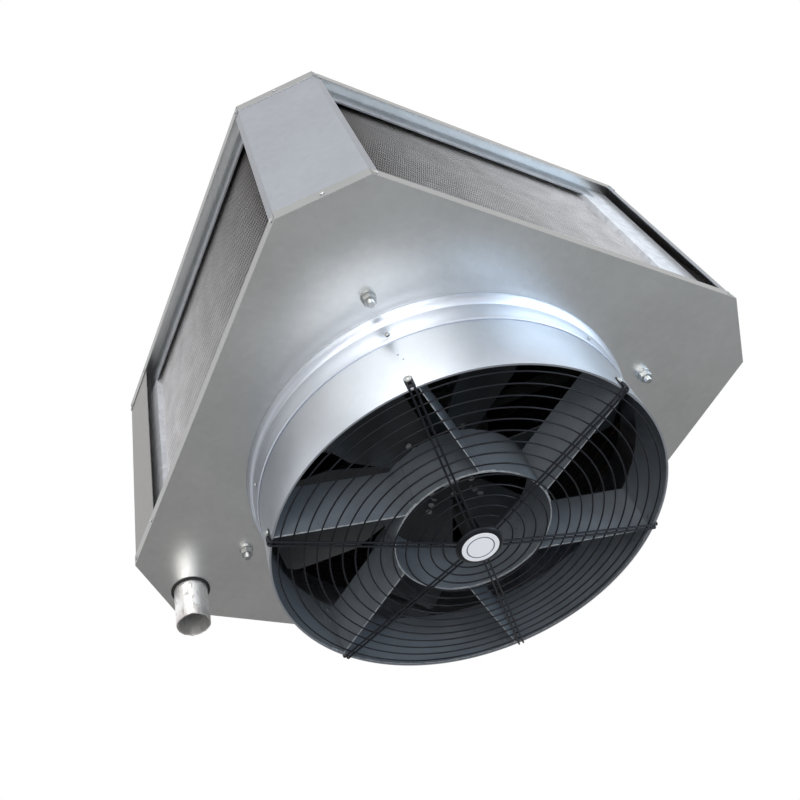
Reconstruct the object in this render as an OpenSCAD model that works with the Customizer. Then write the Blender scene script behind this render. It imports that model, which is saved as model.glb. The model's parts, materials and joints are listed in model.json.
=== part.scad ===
// Steam unit heater that hangs from a ceiling and blows warm air down.
// A square casing with cut corners holds two steam coils that wrap round its four open sides.
// A fan under the motor draws air through the coils and drives it past fixed guide vanes.
// Origin: centre of the four hanger studs at the upper face of their nuts. +Z is up.
// Places below are written from the underside of the bottom plate, and hang() moves them.

/* [Casing] */
// Width of the square casing over its flat sides
casing_w = 900; // [890:10:1060]
// Height of the casing over both plates
casing_h = 470; // [440:10:560]
// Length that each cut corner takes from a side
corner_cut = 105; // [90:5:112]
// Thickness of the casing sheet
sheet_t = 1.5; // [1:0.1:2]
// Height of the lip turned round both plates
lip_h = 22; // [18:1:28]
// Width of the side flanges on the corner panels
flange_w = 15; // [12:1:24]
// Width of the closing flanges on the header cover
cover_flange_w = 108; // [95:1:112]

/* [Hanging] */
// Distance between the hanger studs along both sides
stud_spacing = 540; // [525:5:560]
// Diameter of the hanger studs
stud_d = 12; // [10:1:14]
// Free length of a stud above its top nut
stud_free = 55; // [30:5:120]
// Length of a stud below its bottom nut
stud_tail = 9; // [4:1:20]

/* [Fan outlet] */
// Outer radius of the outlet collar
collar_r = 331.7; // [326:0.1:334]
// Length of the outlet below the bottom plate
outlet_l = 175; // [160:5:220]
// Thickness of the collar and sleeve sheet
duct_t = 1.2; // [0.8:0.1:1.4]
// Radius of the rolled shoulder where the neck leaves the plate
root_r = 345; // [343:0.5:347]
// Length of the neck below the plate
neck_l = 58; // [50:1:66]
// Length of the dark sleeve that holds the guide vanes
sleeve_l = 105; // [98:1:110]

/* [Guide vanes] */
// Number of guide vanes
vane_n = 6; // [4:1:8]
// Outer radius of the drum that joins the vanes
drum_r = 131.7; // [110:1:145]
// Angle on the drum where the first vane starts
vane_root_a = 65; // [60:1:70]
// Angle on the sleeve where the first vane ends
vane_tip_a = 47; // [42:1:52]
// Height of a guide vane along the axis
vane_h = 101; // [90:1:101]
// Thickness of the vane sheet
vane_t = 1.5; // [1:0.1:2]

/* [Impeller] */
// Number of impeller blades
blade_n = 6; // [4:1:7]
// Running gap between the blade tips and the collar
tip_gap = 6; // [3:0.5:10]
// Pitch of the blades
blade_pitch = 27; // [20:1:30]
// Widest chord of a blade
blade_chord = 150; // [110:5:155]
// Thickness of the blade sheet
blade_t = 2.5; // [2:0.1:4]
// Radius of the camber arc across a blade
camber_r = 260; // [200:10:500]
// Diameter of the motor shaft
shaft_d = 24; // [19:1:28]

/* [Motor] */
// Outer radius of the motor frame without its ribs
motor_r = 84; // [75:1:90]
// Length of the motor frame
motor_l = 165; // [140:5:190]
// Number of cooling ribs round the motor
rib_n = 28; // [20:1:32]
// Width of the spider arms that carry the motor
arm_w = 44; // [40:1:60]

/* [Coil] */
// Depth of the coil face behind the casing side
coil_setback = 20; // [18:1:24]
// Depth of the fin pack
coil_depth = 56; // [52:1:58]
// Outer bend radius of the coil at its corner
bend_r = 123; // [121:1:130]
// Diameter of the coil tubes
tube_d = 16; // [12.7:0.1:17]
// Wall of the coil tubes
tube_wall = 1; // [0.7:0.1:1.5]
// Number of tube levels
tube_n = 11; // [8:1:11]
// Distance between tube levels
tube_pitch = 38; // [34:0.5:38.5]
// Pitch of the grooves that stand for the fins
fin_pitch = 11; // [8:0.5:16]
// Height of the outer flange on the coil channels
channel_h = 56; // [40:1:70]
// Distance from the centre line to the end plates on the header side
header_end = 232; // [225:1:240]
// Distance from the centre line to the end plates on the far side
return_end = 255; // [245:1:260]

/* [Pipes] */
// Outer diameter of the two pipe stubs outside the casing
pipe_d = 60.3; // [54:0.1:64]
// Outer diameter of the headers inside the casing
header_d = 57; // [50:0.1:58]
// Wall of the headers and stubs
pipe_wall = 3; // [2.5:0.1:4]
// Distance from the centre line to the header along its coil
header_x = 335; // [328:1:338]
// Length of each pipe end outside the casing
stub_l = 79; // [50:1:140]

/* [Wire guard] */
// Number of guard spokes
spoke_n = 6; // [4:1:8]
// Angle of the first spoke
spoke_a = 45.5; // [40:0.5:50]
// Diameter of the spoke wires
spoke_d = 3.5; // [3:0.1:4]
// Distance between the two wires of a spoke
spoke_gap = 8; // [7.5:0.1:10]
// Number of guard rings
ring_n = 14; // [8:1:14]
// Diameter of the ring wire
ring_d = 2.6; // [2:0.1:3.5]
// Radius of the smallest ring
ring_first_r = 58; // [50:1:62]
// Distance between neighbouring rings
ring_step = 20; // [15:0.5:20.5]
// Drop of the guard from its rim to its centre
guard_drop = 23; // [12:1:30]

/* [Hidden] */
$fn = 48;

// Small gap between pieces that rest against each other
fit = 0.1;
// Radial gap of a screw, rod or tube in its hole
hole_gap = 0.3;
// Gap of a shaft that runs in a bore
run_gap = 0.03;
half = casing_w / 2;
flat_end = half - corner_cut;
plate_top = casing_h - sheet_t;
lip_mid = lip_h / 2;

nut_h = 0.9 * stud_d;
nut_flats = 1.5833 * stud_d;
washer_h = 2.5;
washer_r = stud_d;
// The rod inside the casing and its nuts is drawn a little under the free threaded end
rod_r = stud_d / 2 - 0.3;
stud_at = stud_spacing / 2;
hang_z = casing_h + washer_h + nut_h;

collar_in = collar_r - duct_t;
collar_top = -9;
sleeve_r = collar_in - fit;
sleeve_in = sleeve_r - duct_t;
sleeve_low = -outlet_l + 1.5;
drum_low = -outlet_l + 1;
vane_low = drum_low + 1;
tip_r = sleeve_in - tip_gap + duct_t;

spider_z = 62;
spider_t = 6;
motor_flange_z = spider_z + spider_t + fit;
motor_flange_t = 12;
shield_h = 26;
motor_z = motor_flange_z + motor_flange_t + shield_h;
cowl_z = motor_z + motor_l;
blade_z = -18;
hub_face_h = 22;
hub_face_z = blade_z - hub_face_h;
shaft_r = shaft_d / 2;

coil_front = half - coil_setback;
fin_recess = 12;
fin_front = coil_front - fin_recess;
fin_back = fin_front - coil_depth;
bend_c = fin_front - bend_r;
row_out = fin_front - coil_depth / 4;
row_in = fin_front - 3 * coil_depth / 4;
rows = [row_out, row_in];
channel_t = 1.5;
channel_lip = 15;
channel_end = 30;
fin_low = sheet_t + fit + channel_t + 5;
fin_high = plate_top - fit - channel_t - 5;
tube_r = tube_d / 2;
tube_low = (fin_low + fin_high - (tube_n - 1) * tube_pitch) / 2;
tube_out = 7;
end_flange_w = 88;
header_y = (row_out + row_in) / 2;
pipe_r = pipe_d / 2;
header_r = header_d / 2;
stub_gap = 2.2;

guard_rim_z = -outlet_l - fit - spoke_d / 2;
guard_slope = guard_drop / collar_r;
tab_w = 13;
tab_t = 1.5;
tab_x = collar_r + fit + 0.05;
tab_z = -outlet_l + 21;
loop_z = tab_z - 13;
wire_x = tab_x + tab_t + spoke_d / 2 + 0.05;
wire_start_r = 26;
dish_r = 40;

// Moves a place written from the bottom plate to the origin at the hanger studs
module hang() {
    translate([0, 0, -hang_z])
        children();
}

// Outline of the casing, drawn in by some amount all round
function octagon(inset) =
    let (h = half - inset, e = flat_end - inset * (sqrt(2) - 1))
    [[-e, -h], [e, -h], [h, -e], [h, e], [e, h], [-e, h], [-h, e], [-h, -e]];

// Points of an arc about a centre
function arc(c, r, a0, a1, steps) =
    [for (i = [0 : steps]) let (a = a0 + (a1 - a0) * i / steps) [c[0] + r * cos(a), c[1] + r * sin(a)]];

// Round bar between two heights
module bar(r, z0, z1) {
    translate([0, 0, z0])
        cylinder(r = r, h = z1 - z0);
}

// Round wall between two heights
module tube(r_out, r_in, z0, z1) {
    translate([0, 0, z0])
        linear_extrude(z1 - z0)
            difference() {
                circle(r_out);
                circle(r_in);
            }
}

// Part of a round wall between two angles
module wall_strip(r_in, t, a0, a1, z0, z1) {
    translate([0, 0, z0])
        rotate([0, 0, a0])
            rotate_extrude(angle = a1 - a0)
                translate([r_in, 0])
                    square([t, z1 - z0]);
}

// Places the children at the four hanger studs
module at_studs() {
    for (x = [-stud_at, stud_at], y = [-stud_at, stud_at])
        translate([x, y, 0])
            children();
}

// Places the children on a side face, pointing out, for each screw of one corner.
// The list gives how far each screw stands from the start of the cut corner.
module at_side_screws(steps) {
    for (z = [lip_mid, casing_h - lip_mid], s = steps) {
        translate([-flat_end + s, -half, z])
            rotate([90, 0, 0])
                children();
        translate([-half, -flat_end + s, z])
            rotate([0, -90, 0])
                children();
    }
    for (z = [lip_mid, casing_h - lip_mid])
        translate([-(half + flat_end) / 2, -(half + flat_end) / 2, z])
            rotate([0, 0, 225])
                rotate([0, 90, 0])
                    children();
}

// Places the children at every panel screw
module at_panel_screws() {
    for (a = [0, 90, 180])
        rotate([0, 0, a])
            at_side_screws([flange_w / 2])
                children();
    rotate([0, 0, 270])
        at_side_screws([flange_w / 2, cover_flange_w - flange_w / 2])
            children();
}

// Open seam where the lips of two sides meet
seam_w = 0.6;

// A plate with a lip turned up round all eight sides
module pan() {
    corners = octagon(0);
    linear_extrude(sheet_t)
        polygon(corners);
    linear_extrude(lip_h)
        difference() {
            polygon(corners);
            polygon(octagon(sheet_t));
            for (i = [0 : 7])
                translate(corners[i])
                    rotate(45 * i - 112.5)
                        square([6 * sheet_t, seam_w], center = true);
        }
}

screw_r = 1.7;
screw_head_r = 3.6;
screw_l = 8;

// Screw with a domed head that lies just off the face it holds
module pan_screw(r, head_r, length) {
    translate([0, 0, -length])
        cylinder(r = r, h = length + 2 * fit);
    translate([0, 0, fit])
        rotate_extrude()
            intersection() {
                translate([0, -1.45 * head_r])
                    circle(2 * head_r);
                square([head_r, head_r]);
            }
}

module panel_screw_holes() {
    at_panel_screws()
        translate([0, 0, -screw_l - 1])
            cylinder(r = screw_r + hole_gap / 2, h = screw_l + 4);
}

module bottom_plate() {
    color("lightslategray")
        difference() {
            pan();
            bar(root_r + hole_gap, -1, sheet_t + 1);
            at_studs()
                bar(stud_d / 2 + hole_gap, -1, sheet_t + 1);
            translate([-header_x, header_y, 0])
                bar(pipe_r + grommet_t, -1, sheet_t + 1);
            panel_screw_holes();
        }
}

gland_at = [-150, 330];
gland_r = 10;

module top_plate() {
    color("lightslategray")
        difference() {
            translate([0, 0, casing_h])
                mirror([0, 0, 1])
                    pan();
            at_studs()
                bar(stud_d / 2 + hole_gap, plate_top - 1, casing_h + 1);
            translate([-header_y, header_x, 0])
                bar(pipe_r + grommet_t, plate_top - 1, casing_h + 1);
            translate([gland_at[0], gland_at[1], 0])
                bar(gland_r + hole_gap, plate_top - 1, casing_h + 1);
            panel_screw_holes();
        }
}

// Folded panel round one cut corner, its flanges lying behind the lips
module corner_fold(flange) {
    reach = half - flat_end + flange;
    translate([0, 0, sheet_t + fit])
        linear_extrude(casing_h - 2 * sheet_t - 2 * fit)
            intersection() {
                difference() {
                    polygon(octagon(sheet_t + fit));
                    polygon(octagon(2 * sheet_t + fit));
                }
                translate([-half, -half])
                    square(reach);
            }
}

module corner_panel(a) {
    color("silver")
        difference() {
            rotate([0, 0, a])
                corner_fold(flange_w);
            panel_screw_holes();
        }
}

module header_cover() {
    color("silver")
        difference() {
            rotate([0, 0, 270])
                corner_fold(cover_flange_w);
            panel_screw_holes();
        }
}

module panel_screws() {
    color("gainsboro")
        at_panel_screws()
            pan_screw(screw_r, screw_head_r, screw_l);
}

// Lines of the neck: flange on the plate, rolled shoulder, crease, band and lower edge
roll_r = 24;
roll_a = 50;
roll_c = [root_r - roll_r, -2];
neck_flange_w = 10;
neck_seat_z = sheet_t + fit;
neck_in = collar_r + fit;
band_top = [roll_c[0] + roll_r * cos(roll_a) + 1.2, roll_c[1] - roll_r * sin(roll_a) - 2];
band_low = [neck_in + sheet_t + 1.5, -neck_l + 6];
neck_outer = concat([[root_r + neck_flange_w, neck_seat_z], [root_r, neck_seat_z]],
    arc(roll_c, roll_r, 0, -roll_a, 6),
    [band_top, band_low, band_low - [0, 4], [neck_in + sheet_t, -neck_l], [neck_in, -neck_l]]);
neck_inner = concat([[neck_in, band_low[1] - 2], [band_low[0] - sheet_t, band_low[1] + 1],
    [band_top[0] - sheet_t, band_top[1]]], arc(roll_c, roll_r - sheet_t, -roll_a, 0, 6),
    [[root_r - sheet_t, neck_seat_z + sheet_t], [root_r + neck_flange_w, neck_seat_z + sheet_t]]);

module neck_ring() {
    color("gainsboro")
        difference() {
            rotate_extrude()
                polygon(concat(neck_outer, neck_inner));
            at_collar_screws()
                translate([0, 0, -collar_screw_l - 1])
                    cylinder(r = screw_r + hole_gap / 2, h = collar_screw_l + 3);
        }
}

// Screws stand on the band of the neck, one in line with each guard spoke
collar_screw_z = -neck_l + 14;
collar_screw_l = 9;
collar_screw_r = band_low[0] + (band_top[0] - band_low[0])
    * (collar_screw_z - band_low[1]) / (band_top[1] - band_low[1]);

module at_collar_screws() {
    at_spokes()
        translate([collar_screw_r, 0, collar_screw_z])
            rotate([0, 90, 0])
                children();
}

module collar_screws() {
    color("gainsboro")
        at_collar_screws()
            translate([0, 0, 0.4])
                pan_screw(screw_r, screw_head_r, collar_screw_l);
}

// Small spare holes above each guard screw: height, angle beside the spoke and radius
spare_holes = [[tab_z + 61, 0.3, 1.4], [tab_z + 47, 1.1, 1.1]];

module outlet_collar() {
    rim = 2;
    color("whitesmoke")
        difference() {
            rotate_extrude()
                union() {
                    translate([collar_in, -outlet_l])
                        square([duct_t, outlet_l + collar_top]);
                    translate([collar_in - rim + fit, -outlet_l])
                        square([rim, duct_t]);
                }
            at_collar_screws()
                translate([0, 0, -collar_screw_l - 1])
                    cylinder(r = screw_r + hole_gap / 2, h = collar_screw_l + 3);
            at_spokes() {
                guard_screw_hole();
                for (h = spare_holes)
                    rotate([0, 0, h[1]])
                        translate([collar_r - 4, 0, h[0]])
                            rotate([0, 90, 0])
                                cylinder(r = h[2], h = 8);
            }
        }
}

module vane_sleeve() {
    color("#2f3942")
        difference() {
            tube(sleeve_r, sleeve_in, sleeve_low, sleeve_low + sleeve_l);
            at_spokes()
                guard_screw_hole();
            at_tip_rivets()
                rivet_hole();
        }
}

module vane_drum() {
    color("#39434d")
        difference() {
            tube(drum_r, drum_r - vane_t, drum_low, drum_low + vane_h + 1);
            at_root_rivets()
                rivet_hole();
        }
}

vane_root = (drum_r + fit) * [cos(vane_root_a), sin(vane_root_a)];
vane_tip = sleeve_in * [cos(vane_tip_a), sin(vane_tip_a)];
vane_dir = atan2(vane_tip[1] - vane_root[1], vane_tip[0] - vane_root[0]);
vane_len = norm(vane_tip - vane_root);
root_tab_a = 11.5;
tip_tab_a = 5;
rivet_n = 4;
rivet_r = 1.6;

// One flat vane with a tab bent along the drum and another along the sleeve
module vane_plate(k) {
    color("#3d4852")
        rotate([0, 0, k * 360 / vane_n])
            difference() {
                union() {
                    intersection() {
                        translate([vane_root[0], vane_root[1], vane_low])
                            rotate([0, 0, vane_dir])
                                translate([-10, -vane_t / 2, 0])
                                    cube([vane_len + 20, vane_t, vane_h]);
                        tube(sleeve_in - fit, drum_r + fit, vane_low - 1, vane_low + vane_h + 1);
                    }
                    wall_strip(drum_r + fit, vane_t, vane_root_a - 0.4, vane_root_a + root_tab_a,
                        vane_low, vane_low + vane_h);
                    wall_strip(sleeve_in - fit - vane_t, vane_t, vane_tip_a - 0.15, vane_tip_a + tip_tab_a,
                        vane_low, vane_low + vane_h);
                }
                root_rivets_of_one()
                    rivet_hole();
                tip_rivets_of_one()
                    rivet_hole();
            }
}

module root_rivets_of_one() {
    for (i = [0 : rivet_n - 1])
        rotate([0, 0, vane_root_a + 0.65 * root_tab_a])
            translate([drum_r, 0, vane_low + vane_h * (i + 0.5) / rivet_n])
                rotate([0, 90, 0])
                    children();
}

module tip_rivets_of_one() {
    for (i = [0 : rivet_n - 1])
        rotate([0, 0, vane_tip_a + 0.55 * tip_tab_a])
            translate([sleeve_in, 0, vane_low + vane_h * (i + 0.5) / rivet_n])
                rotate([0, -90, 0])
                    children();
}

module at_root_rivets() {
    for (k = [0 : vane_n - 1])
        rotate([0, 0, k * 360 / vane_n])
            root_rivets_of_one()
                children();
}

module at_tip_rivets() {
    for (k = [0 : vane_n - 1])
        rotate([0, 0, k * 360 / vane_n])
            tip_rivets_of_one()
                children();
}

module rivet_hole() {
    translate([0, 0, -6])
        cylinder(r = rivet_r + 0.05, h = 12);
}

// Domed rivet whose shank starts below the seat and whose head lies on the tab
module rivet(below) {
    translate([0, 0, -below])
        cylinder(r = rivet_r, h = below + vane_t + 0.3);
    translate([0, 0, vane_t + 0.25])
        rotate_extrude()
            intersection() {
                translate([0, -3.4])
                    circle(5);
                square([3.4, 2]);
            }
}

module vane_rivets() {
    color("#56616b") {
        at_root_rivets()
            rivet(vane_t + 0.6);
        at_tip_rivets()
            rivet(duct_t);
    }
}

// Section across a blade: part of a ring about a centre far below it
module camber_band(width, t, lift) {
    translate([0, -camber_r + lift])
        intersection() {
            difference() {
                circle(camber_r + t);
                circle(camber_r);
            }
            translate([-width / 2, 0])
                square([width, camber_r + t + 1]);
        }
}

// Turns the local blade frame to its place: X runs out from the shaft, Y across the chord
module at_blade(k) {
    rotate([0, 0, 20 + k * 360 / blade_n])
        translate([0, 0, blade_z])
            rotate([blade_pitch, 0, 0])
                children();
}

blade_root_r = 56;
bolt_rs = [66, 82, 98];
bolt_r = 3;
arm_tip_r = 108;
arm_t = 7;
blade_arm_w = 34;

// Half chord of a blade at a radius: narrow root, full chord past the middle, eased tip
function half_chord(r) =
    let (s = (r - blade_root_r) / (tip_r - blade_root_r))
    blade_chord / 2 * min(0.42 + 1.15 * s, 1) * (s > 0.9 ? 1 - 3 * pow(s - 0.9, 2) * 4 : 1);

module blade(k) {
    steps = 12;
    edge = [for (i = [0 : steps]) let (r = blade_root_r + (tip_r + 4 - blade_root_r) * i / steps) [r, half_chord(r)]];
    color("#23292e")
        intersection() {
            at_blade(k)
                difference() {
                    intersection() {
                        rotate([90, 0, 90])
                            linear_extrude(tip_r + 10)
                                camber_band(blade_chord, blade_t, 0);
                        translate([0, 0, -30])
                            linear_extrude(60)
                                polygon(concat(edge, [for (i = [steps : -1 : 0]) [edge[i][0], -edge[i][1]]]));
                    }
                    for (r = bolt_rs)
                        translate([r, 0, -20])
                            cylinder(r = bolt_r + 0.1, h = 40);
                }
            bar(tip_r, blade_z - 80, blade_z + 80);
        }
}

module impeller_hub() {
    color("#1d2023")
        difference() {
            union() {
                bar(31, hub_face_z, blade_z + 58);
                bar(54, hub_face_z + 4, hub_face_z + 12);
                for (k = [0 : blade_n - 1])
                    at_blade(k)
                        rotate([90, 0, 90])
                            translate([0, 0, 20])
                                linear_extrude(arm_tip_r - 20)
                                    camber_band(blade_arm_w, arm_t, blade_t + fit);
            }
            bar(shaft_r + run_gap, hub_face_z - 1, blade_z + 60);
            for (k = [0 : blade_n - 1], r = bolt_rs)
                at_blade(k)
                    translate([r, 0, -20])
                        cylinder(r = bolt_r + 0.1, h = 40);
            at_hub_bolts()
                translate([0, 0, -5])
                    cylinder(r = bolt_r + 0.1, h = 16);
        }
}

module at_hub_bolts() {
    for (k = [0 : 5])
        rotate([0, 0, 50 + 60 * k])
            translate([43, 0, hub_face_z + 4])
                children();
}

module hex_bolt(r, flats, head, length) {
    translate([0, 0, -head])
        cylinder(d = flats / cos(30), h = head, $fn = 6);
    cylinder(r = r, h = length);
}

module blade_bolts() {
    color("gainsboro") {
        for (k = [0 : blade_n - 1], r = bolt_rs)
            at_blade(k)
                translate([r, 0, -fit])
                    hex_bolt(bolt_r, 10, 4, blade_t + arm_t + 4);
        at_hub_bolts()
            translate([0, 0, -fit])
                hex_bolt(bolt_r, 10, 4, 14);
        translate([0, 0, hub_face_z - fit]) {
            bar(19, -3, 0);
            translate([0, 0, -10])
                cylinder(d = 19 / cos(30), h = 7.5, $fn = 6);
        }
    }
}

module motor_shaft() {
    color("lightgray")
        bar(shaft_r, hub_face_z + 0.5, cowl_z + 30);
}

rib_h = 11;
// Terminal box: side of the motor it stands on, low end, height, width and depth
box_x = motor_r + rib_h;
box_z = motor_z + 30;
box_h = motor_l - 65;
box_w = 96;
box_d = 44;
bearing_t = 16;
bearing_r = shaft_r + 14;
front_bearing_z = motor_flange_z + motor_flange_t + 2;
rear_bearing_z = cowl_z - 14 - bearing_t;

module motor_bearings() {
    color("gray") {
        tube(bearing_r, shaft_r + run_gap, front_bearing_z, front_bearing_z + bearing_t);
        tube(bearing_r, shaft_r + run_gap, rear_bearing_z, rear_bearing_z + bearing_t);
    }
}

module motor_body() {
    color("slategray")
        difference() {
            union() {
                translate([0, 0, motor_z])
                    linear_extrude(motor_l)
                        union() {
                            circle(motor_r);
                            for (k = [0 : rib_n - 1])
                                rotate([0, 0, k * 360 / rib_n])
                                    translate([motor_r - 2, -1.25])
                                        square([rib_h + 2, 2.5]);
                        }
                translate([motor_r - 30, 2 - box_w / 2, box_z - 5])
                    cube([30 + rib_h, box_w - 4, box_h + 10]);
            }
            bar(shaft_r + 1, motor_z - 1, cowl_z + 1);
            bar(bearing_r + run_gap, rear_bearing_z - fit, cowl_z + 1);
        }
}

spigot_r = 62;
motor_flange_r = 100;
shield_r = 70;
motor_bolt_ring = 84;
motor_bolt_r = 5;
motor_hex_r = 1.9 * motor_bolt_r;

module at_motor_bolts() {
    for (k = [0 : 3])
        rotate([0, 0, 90 * k])
            translate([motor_bolt_ring, 0, 0])
                children();
}

module motor_flange() {
    color("slategray")
        difference() {
            union() {
                bar(spigot_r - fit, spider_z + 1, motor_flange_z + 1);
                bar(motor_flange_r, motor_flange_z, motor_flange_z + motor_flange_t);
                translate([0, 0, motor_flange_z + motor_flange_t])
                    cylinder(r1 = shield_r, r2 = motor_r - 4, h = shield_h - fit);
            }
            bar(shaft_r + 1, spider_z, motor_z + 1);
            bar(bearing_r + run_gap, front_bearing_z - fit, motor_z + 1);
            at_motor_bolts()
                bar(motor_bolt_r + hole_gap, motor_flange_z - 1, motor_flange_z + motor_flange_t + 1);
        }
}

module motor_cowl() {
    inner = motor_r + rib_h + hole_gap;
    color("darkslategray")
        difference() {
            union() {
                bar(inner + 1.5, cowl_z - 12, cowl_z + 44);
                translate([0, 0, cowl_z + 44])
                    cylinder(r1 = inner + 1.5, r2 = inner - 8, h = 8);
            }
            bar(inner, cowl_z - 13, cowl_z + 44);
            for (r = [22 : 13 : 76])
                tube(r + 7, r, cowl_z + 40, cowl_z + 60);
        }
}

// Small fan behind the motor that blows over its ribs
module motor_fan() {
    color("#33383d")
        difference() {
            union() {
                bar(30, cowl_z + 4, cowl_z + 28);
                bar(74, cowl_z + 4, cowl_z + 7);
                for (k = [0 : 7])
                    rotate([0, 0, 45 * k])
                        translate([28, -1.5, cowl_z + 6])
                            cube([52, 3, 24]);
            }
            bar(shaft_r + run_gap, cowl_z, cowl_z + 32);
        }
}

module cowl_spokes() {
    color("darkslategray")
        for (k = [0 : 3])
            rotate([0, 0, 45 * k])
                translate([-88, -2, cowl_z + 48])
                    cube([176, 4, 3]);
}

module terminal_box() {
    color("slategray")
        difference() {
            union() {
                translate([box_x + fit, -box_w / 2, box_z])
                    cube([box_d, box_w, box_h]);
                translate([box_x + box_d + fit, -box_w / 2 - 3, box_z - 3])
                    cube([6, box_w + 6, box_h + 6]);
            }
            translate([box_x + box_d / 2, 0, box_z + box_h - 10])
                cylinder(r = 8, h = 20);
        }
}

module cable_gland() {
    color("#22262a")
        translate([gland_at[0], gland_at[1], 0])
            difference() {
                union() {
                    bar(gland_r, plate_top - 12, casing_h + 12);
                    translate([0, 0, casing_h + fit])
                        cylinder(d = 27, h = 6, $fn = 6);
                    translate([0, 0, plate_top - fit - 5])
                        cylinder(d = 27, h = 5, $fn = 6);
                    translate([0, 0, casing_h + 9])
                        cylinder(d = 24, h = 10, $fn = 6);
                }
                bar(5, plate_top - 13, casing_h + 20);
            }
}

// Four channel-shaped arms out to the tie rods, joined by a ring under the motor flange
module motor_spider() {
    reach = norm([stud_at, stud_at]);
    lip = 18;
    lip_r = motor_flange_r + 20;
    color("#555d63")
        difference() {
            union() {
                bar(motor_flange_r + 8, spider_z, spider_z + spider_t);
                for (k = [0 : 3])
                    rotate([0, 0, 45 + 90 * k]) {
                        translate([motor_bolt_ring, -arm_w / 2, spider_z])
                            cube([reach - motor_bolt_ring, arm_w, spider_t]);
                        translate([reach, 0, 0])
                            bar(arm_w / 2, spider_z, spider_z + spider_t);
                        for (s = [-1, 1])
                            translate([lip_r, s * (arm_w / 2 - 1.5) - 1.5, spider_z + 1])
                                cube([reach - lip_r, 3, lip]);
                    }
            }
            bar(spigot_r, spider_z - 1, spider_z + spider_t + 1);
            at_studs()
                bar(stud_d / 2 + hole_gap, spider_z - 1, spider_z + spider_t + 1);
            at_motor_bolts()
                bar(motor_bolt_r + hole_gap, spider_z - 1, spider_z + spider_t + 1);
        }
}

// Faces that the washers lie on, each with the way its nut points
seats = [[0, -1], [sheet_t, 1], [spider_z, -1], [spider_z + spider_t, 1], [plate_top, -1], [casing_h, 1]];

module at_seats() {
    at_studs()
        for (s = seats)
            translate([0, 0, s[0]])
                mirror([0, 0, s[1] < 0 ? 1 : 0])
                    children();
}

module tie_rods() {
    color("gainsboro")
        at_studs() {
            bar(rod_r, -washer_h - nut_h - stud_tail, hang_z);
            bar(stud_d / 2, hang_z, hang_z + stud_free);
        }
}

// Bolts that hold the motor flange on the spider ring
module motor_bolts() {
    color("silver")
        at_motor_bolts() {
            bar(motor_bolt_r, spider_z - 8, motor_flange_z + motor_flange_t + 10);
            translate([0, 0, spider_z - fit - 6])
                cylinder(r = motor_hex_r, h = 6, $fn = 6);
            translate([0, 0, motor_flange_z + motor_flange_t + fit])
                cylinder(r = motor_hex_r, h = 8, $fn = 6);
        }
}

module nuts() {
    color("silver")
        at_seats()
            translate([0, 0, washer_h])
                difference() {
                    intersection() {
                        cylinder(d = nut_flats / cos(30), h = nut_h, $fn = 6);
                        rotate_extrude()
                            polygon([[0, 0], [nut_flats / 2, 0], [nut_flats, 3], [nut_flats, nut_h - 3],
                                [nut_flats / 2, nut_h], [0, nut_h]]);
                    }
                    bar(rod_r + 0.05, -1, nut_h + 1);
                }
}

module washers() {
    color("silver")
        at_seats()
            tube(washer_r, stud_d / 2 + hole_gap, 0, washer_h);
}

// Height of the guard's spoke wires at a radius
function guard_z(r) = guard_rim_z - guard_drop + guard_slope * r;

module guard_rings() {
    color("#17191b")
        for (i = [0 : ring_n - 1])
            let (r = ring_first_r + ring_step * i)
            rotate_extrude()
                translate([r, guard_z(r) + (spoke_d + ring_d) / 2 + 0.03])
                    circle(d = ring_d);
}

module at_spokes() {
    for (k = [0 : spoke_n - 1])
        rotate([0, 0, spoke_a + k * 360 / spoke_n])
            children();
}

module guard_screw_hole() {
    translate([collar_r - 12, 0, tab_z])
        rotate([0, 90, 0])
            cylinder(r = 2.2, h = 24);
}

// Hairline between the straight and bent stretches of a wire, each a plain solid
weld_gap = 0.04;

// One bent wire: out along the cone, round the collar edge and up beside the collar
module spoke_wire() {
    bend = spoke_d;
    tilt = atan(guard_slope);
    bend_x = wire_x - bend;
    leave = [bend_x + bend * sin(tilt), guard_z(bend_x + bend * sin(tilt))];
    start = [wire_start_r, guard_z(wire_start_r)];
    bend_z = leave[1] + bend * cos(tilt);
    translate([start[0], 0, start[1]])
        rotate([0, 90 - tilt, 0])
            cylinder(d = spoke_d, h = norm(leave - start) - weld_gap);
    translate([bend_x, 0, bend_z])
        rotate([90, 0, 0])
            rotate([0, 0, tilt - 90])
                rotate_extrude(angle = 90 - tilt)
                    translate([bend, 0])
                        circle(d = spoke_d);
    translate([wire_x, 0, bend_z + weld_gap])
        cylinder(d = spoke_d, h = loop_z - bend_z - 2 * weld_gap);
}

// A double wire that closes in a loop on a tab beside the collar
module spoke() {
    for (s = [-1, 1])
        translate([0, s * spoke_gap / 2, 0])
            spoke_wire();
    translate([wire_x, 0, loop_z])
        rotate([90, 0, 90])
            rotate_extrude(angle = 180)
                translate([spoke_gap / 2, 0])
                    circle(d = spoke_d);
    difference() {
        translate([tab_x, -tab_w / 2, loop_z - 5])
            cube([tab_t, tab_w, tab_z - loop_z + 12]);
        guard_screw_hole();
    }
}

module guard_spokes() {
    $fn = 24;
    color("#17191b")
        at_spokes()
            spoke();
}

dish_z = guard_z(dish_r - 2) - spoke_d / 2 - fit;

module guard_dish() {
    color("#17191b")
        translate([0, 0, dish_z])
            rotate_extrude()
                polygon([[0, -5], [34, -5], [37.5, -4], [dish_r, -1.5], [dish_r, 0], [38, 0],
                    [36.5, -2], [33.5, -3], [0, -3]]);
}

module guard_disc() {
    color("white")
        difference() {
            bar(31, dish_z - 6.2, dish_z - 5);
            tube(22.6, 21.8, dish_z - 7, dish_z - 6);
        }
}

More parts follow.
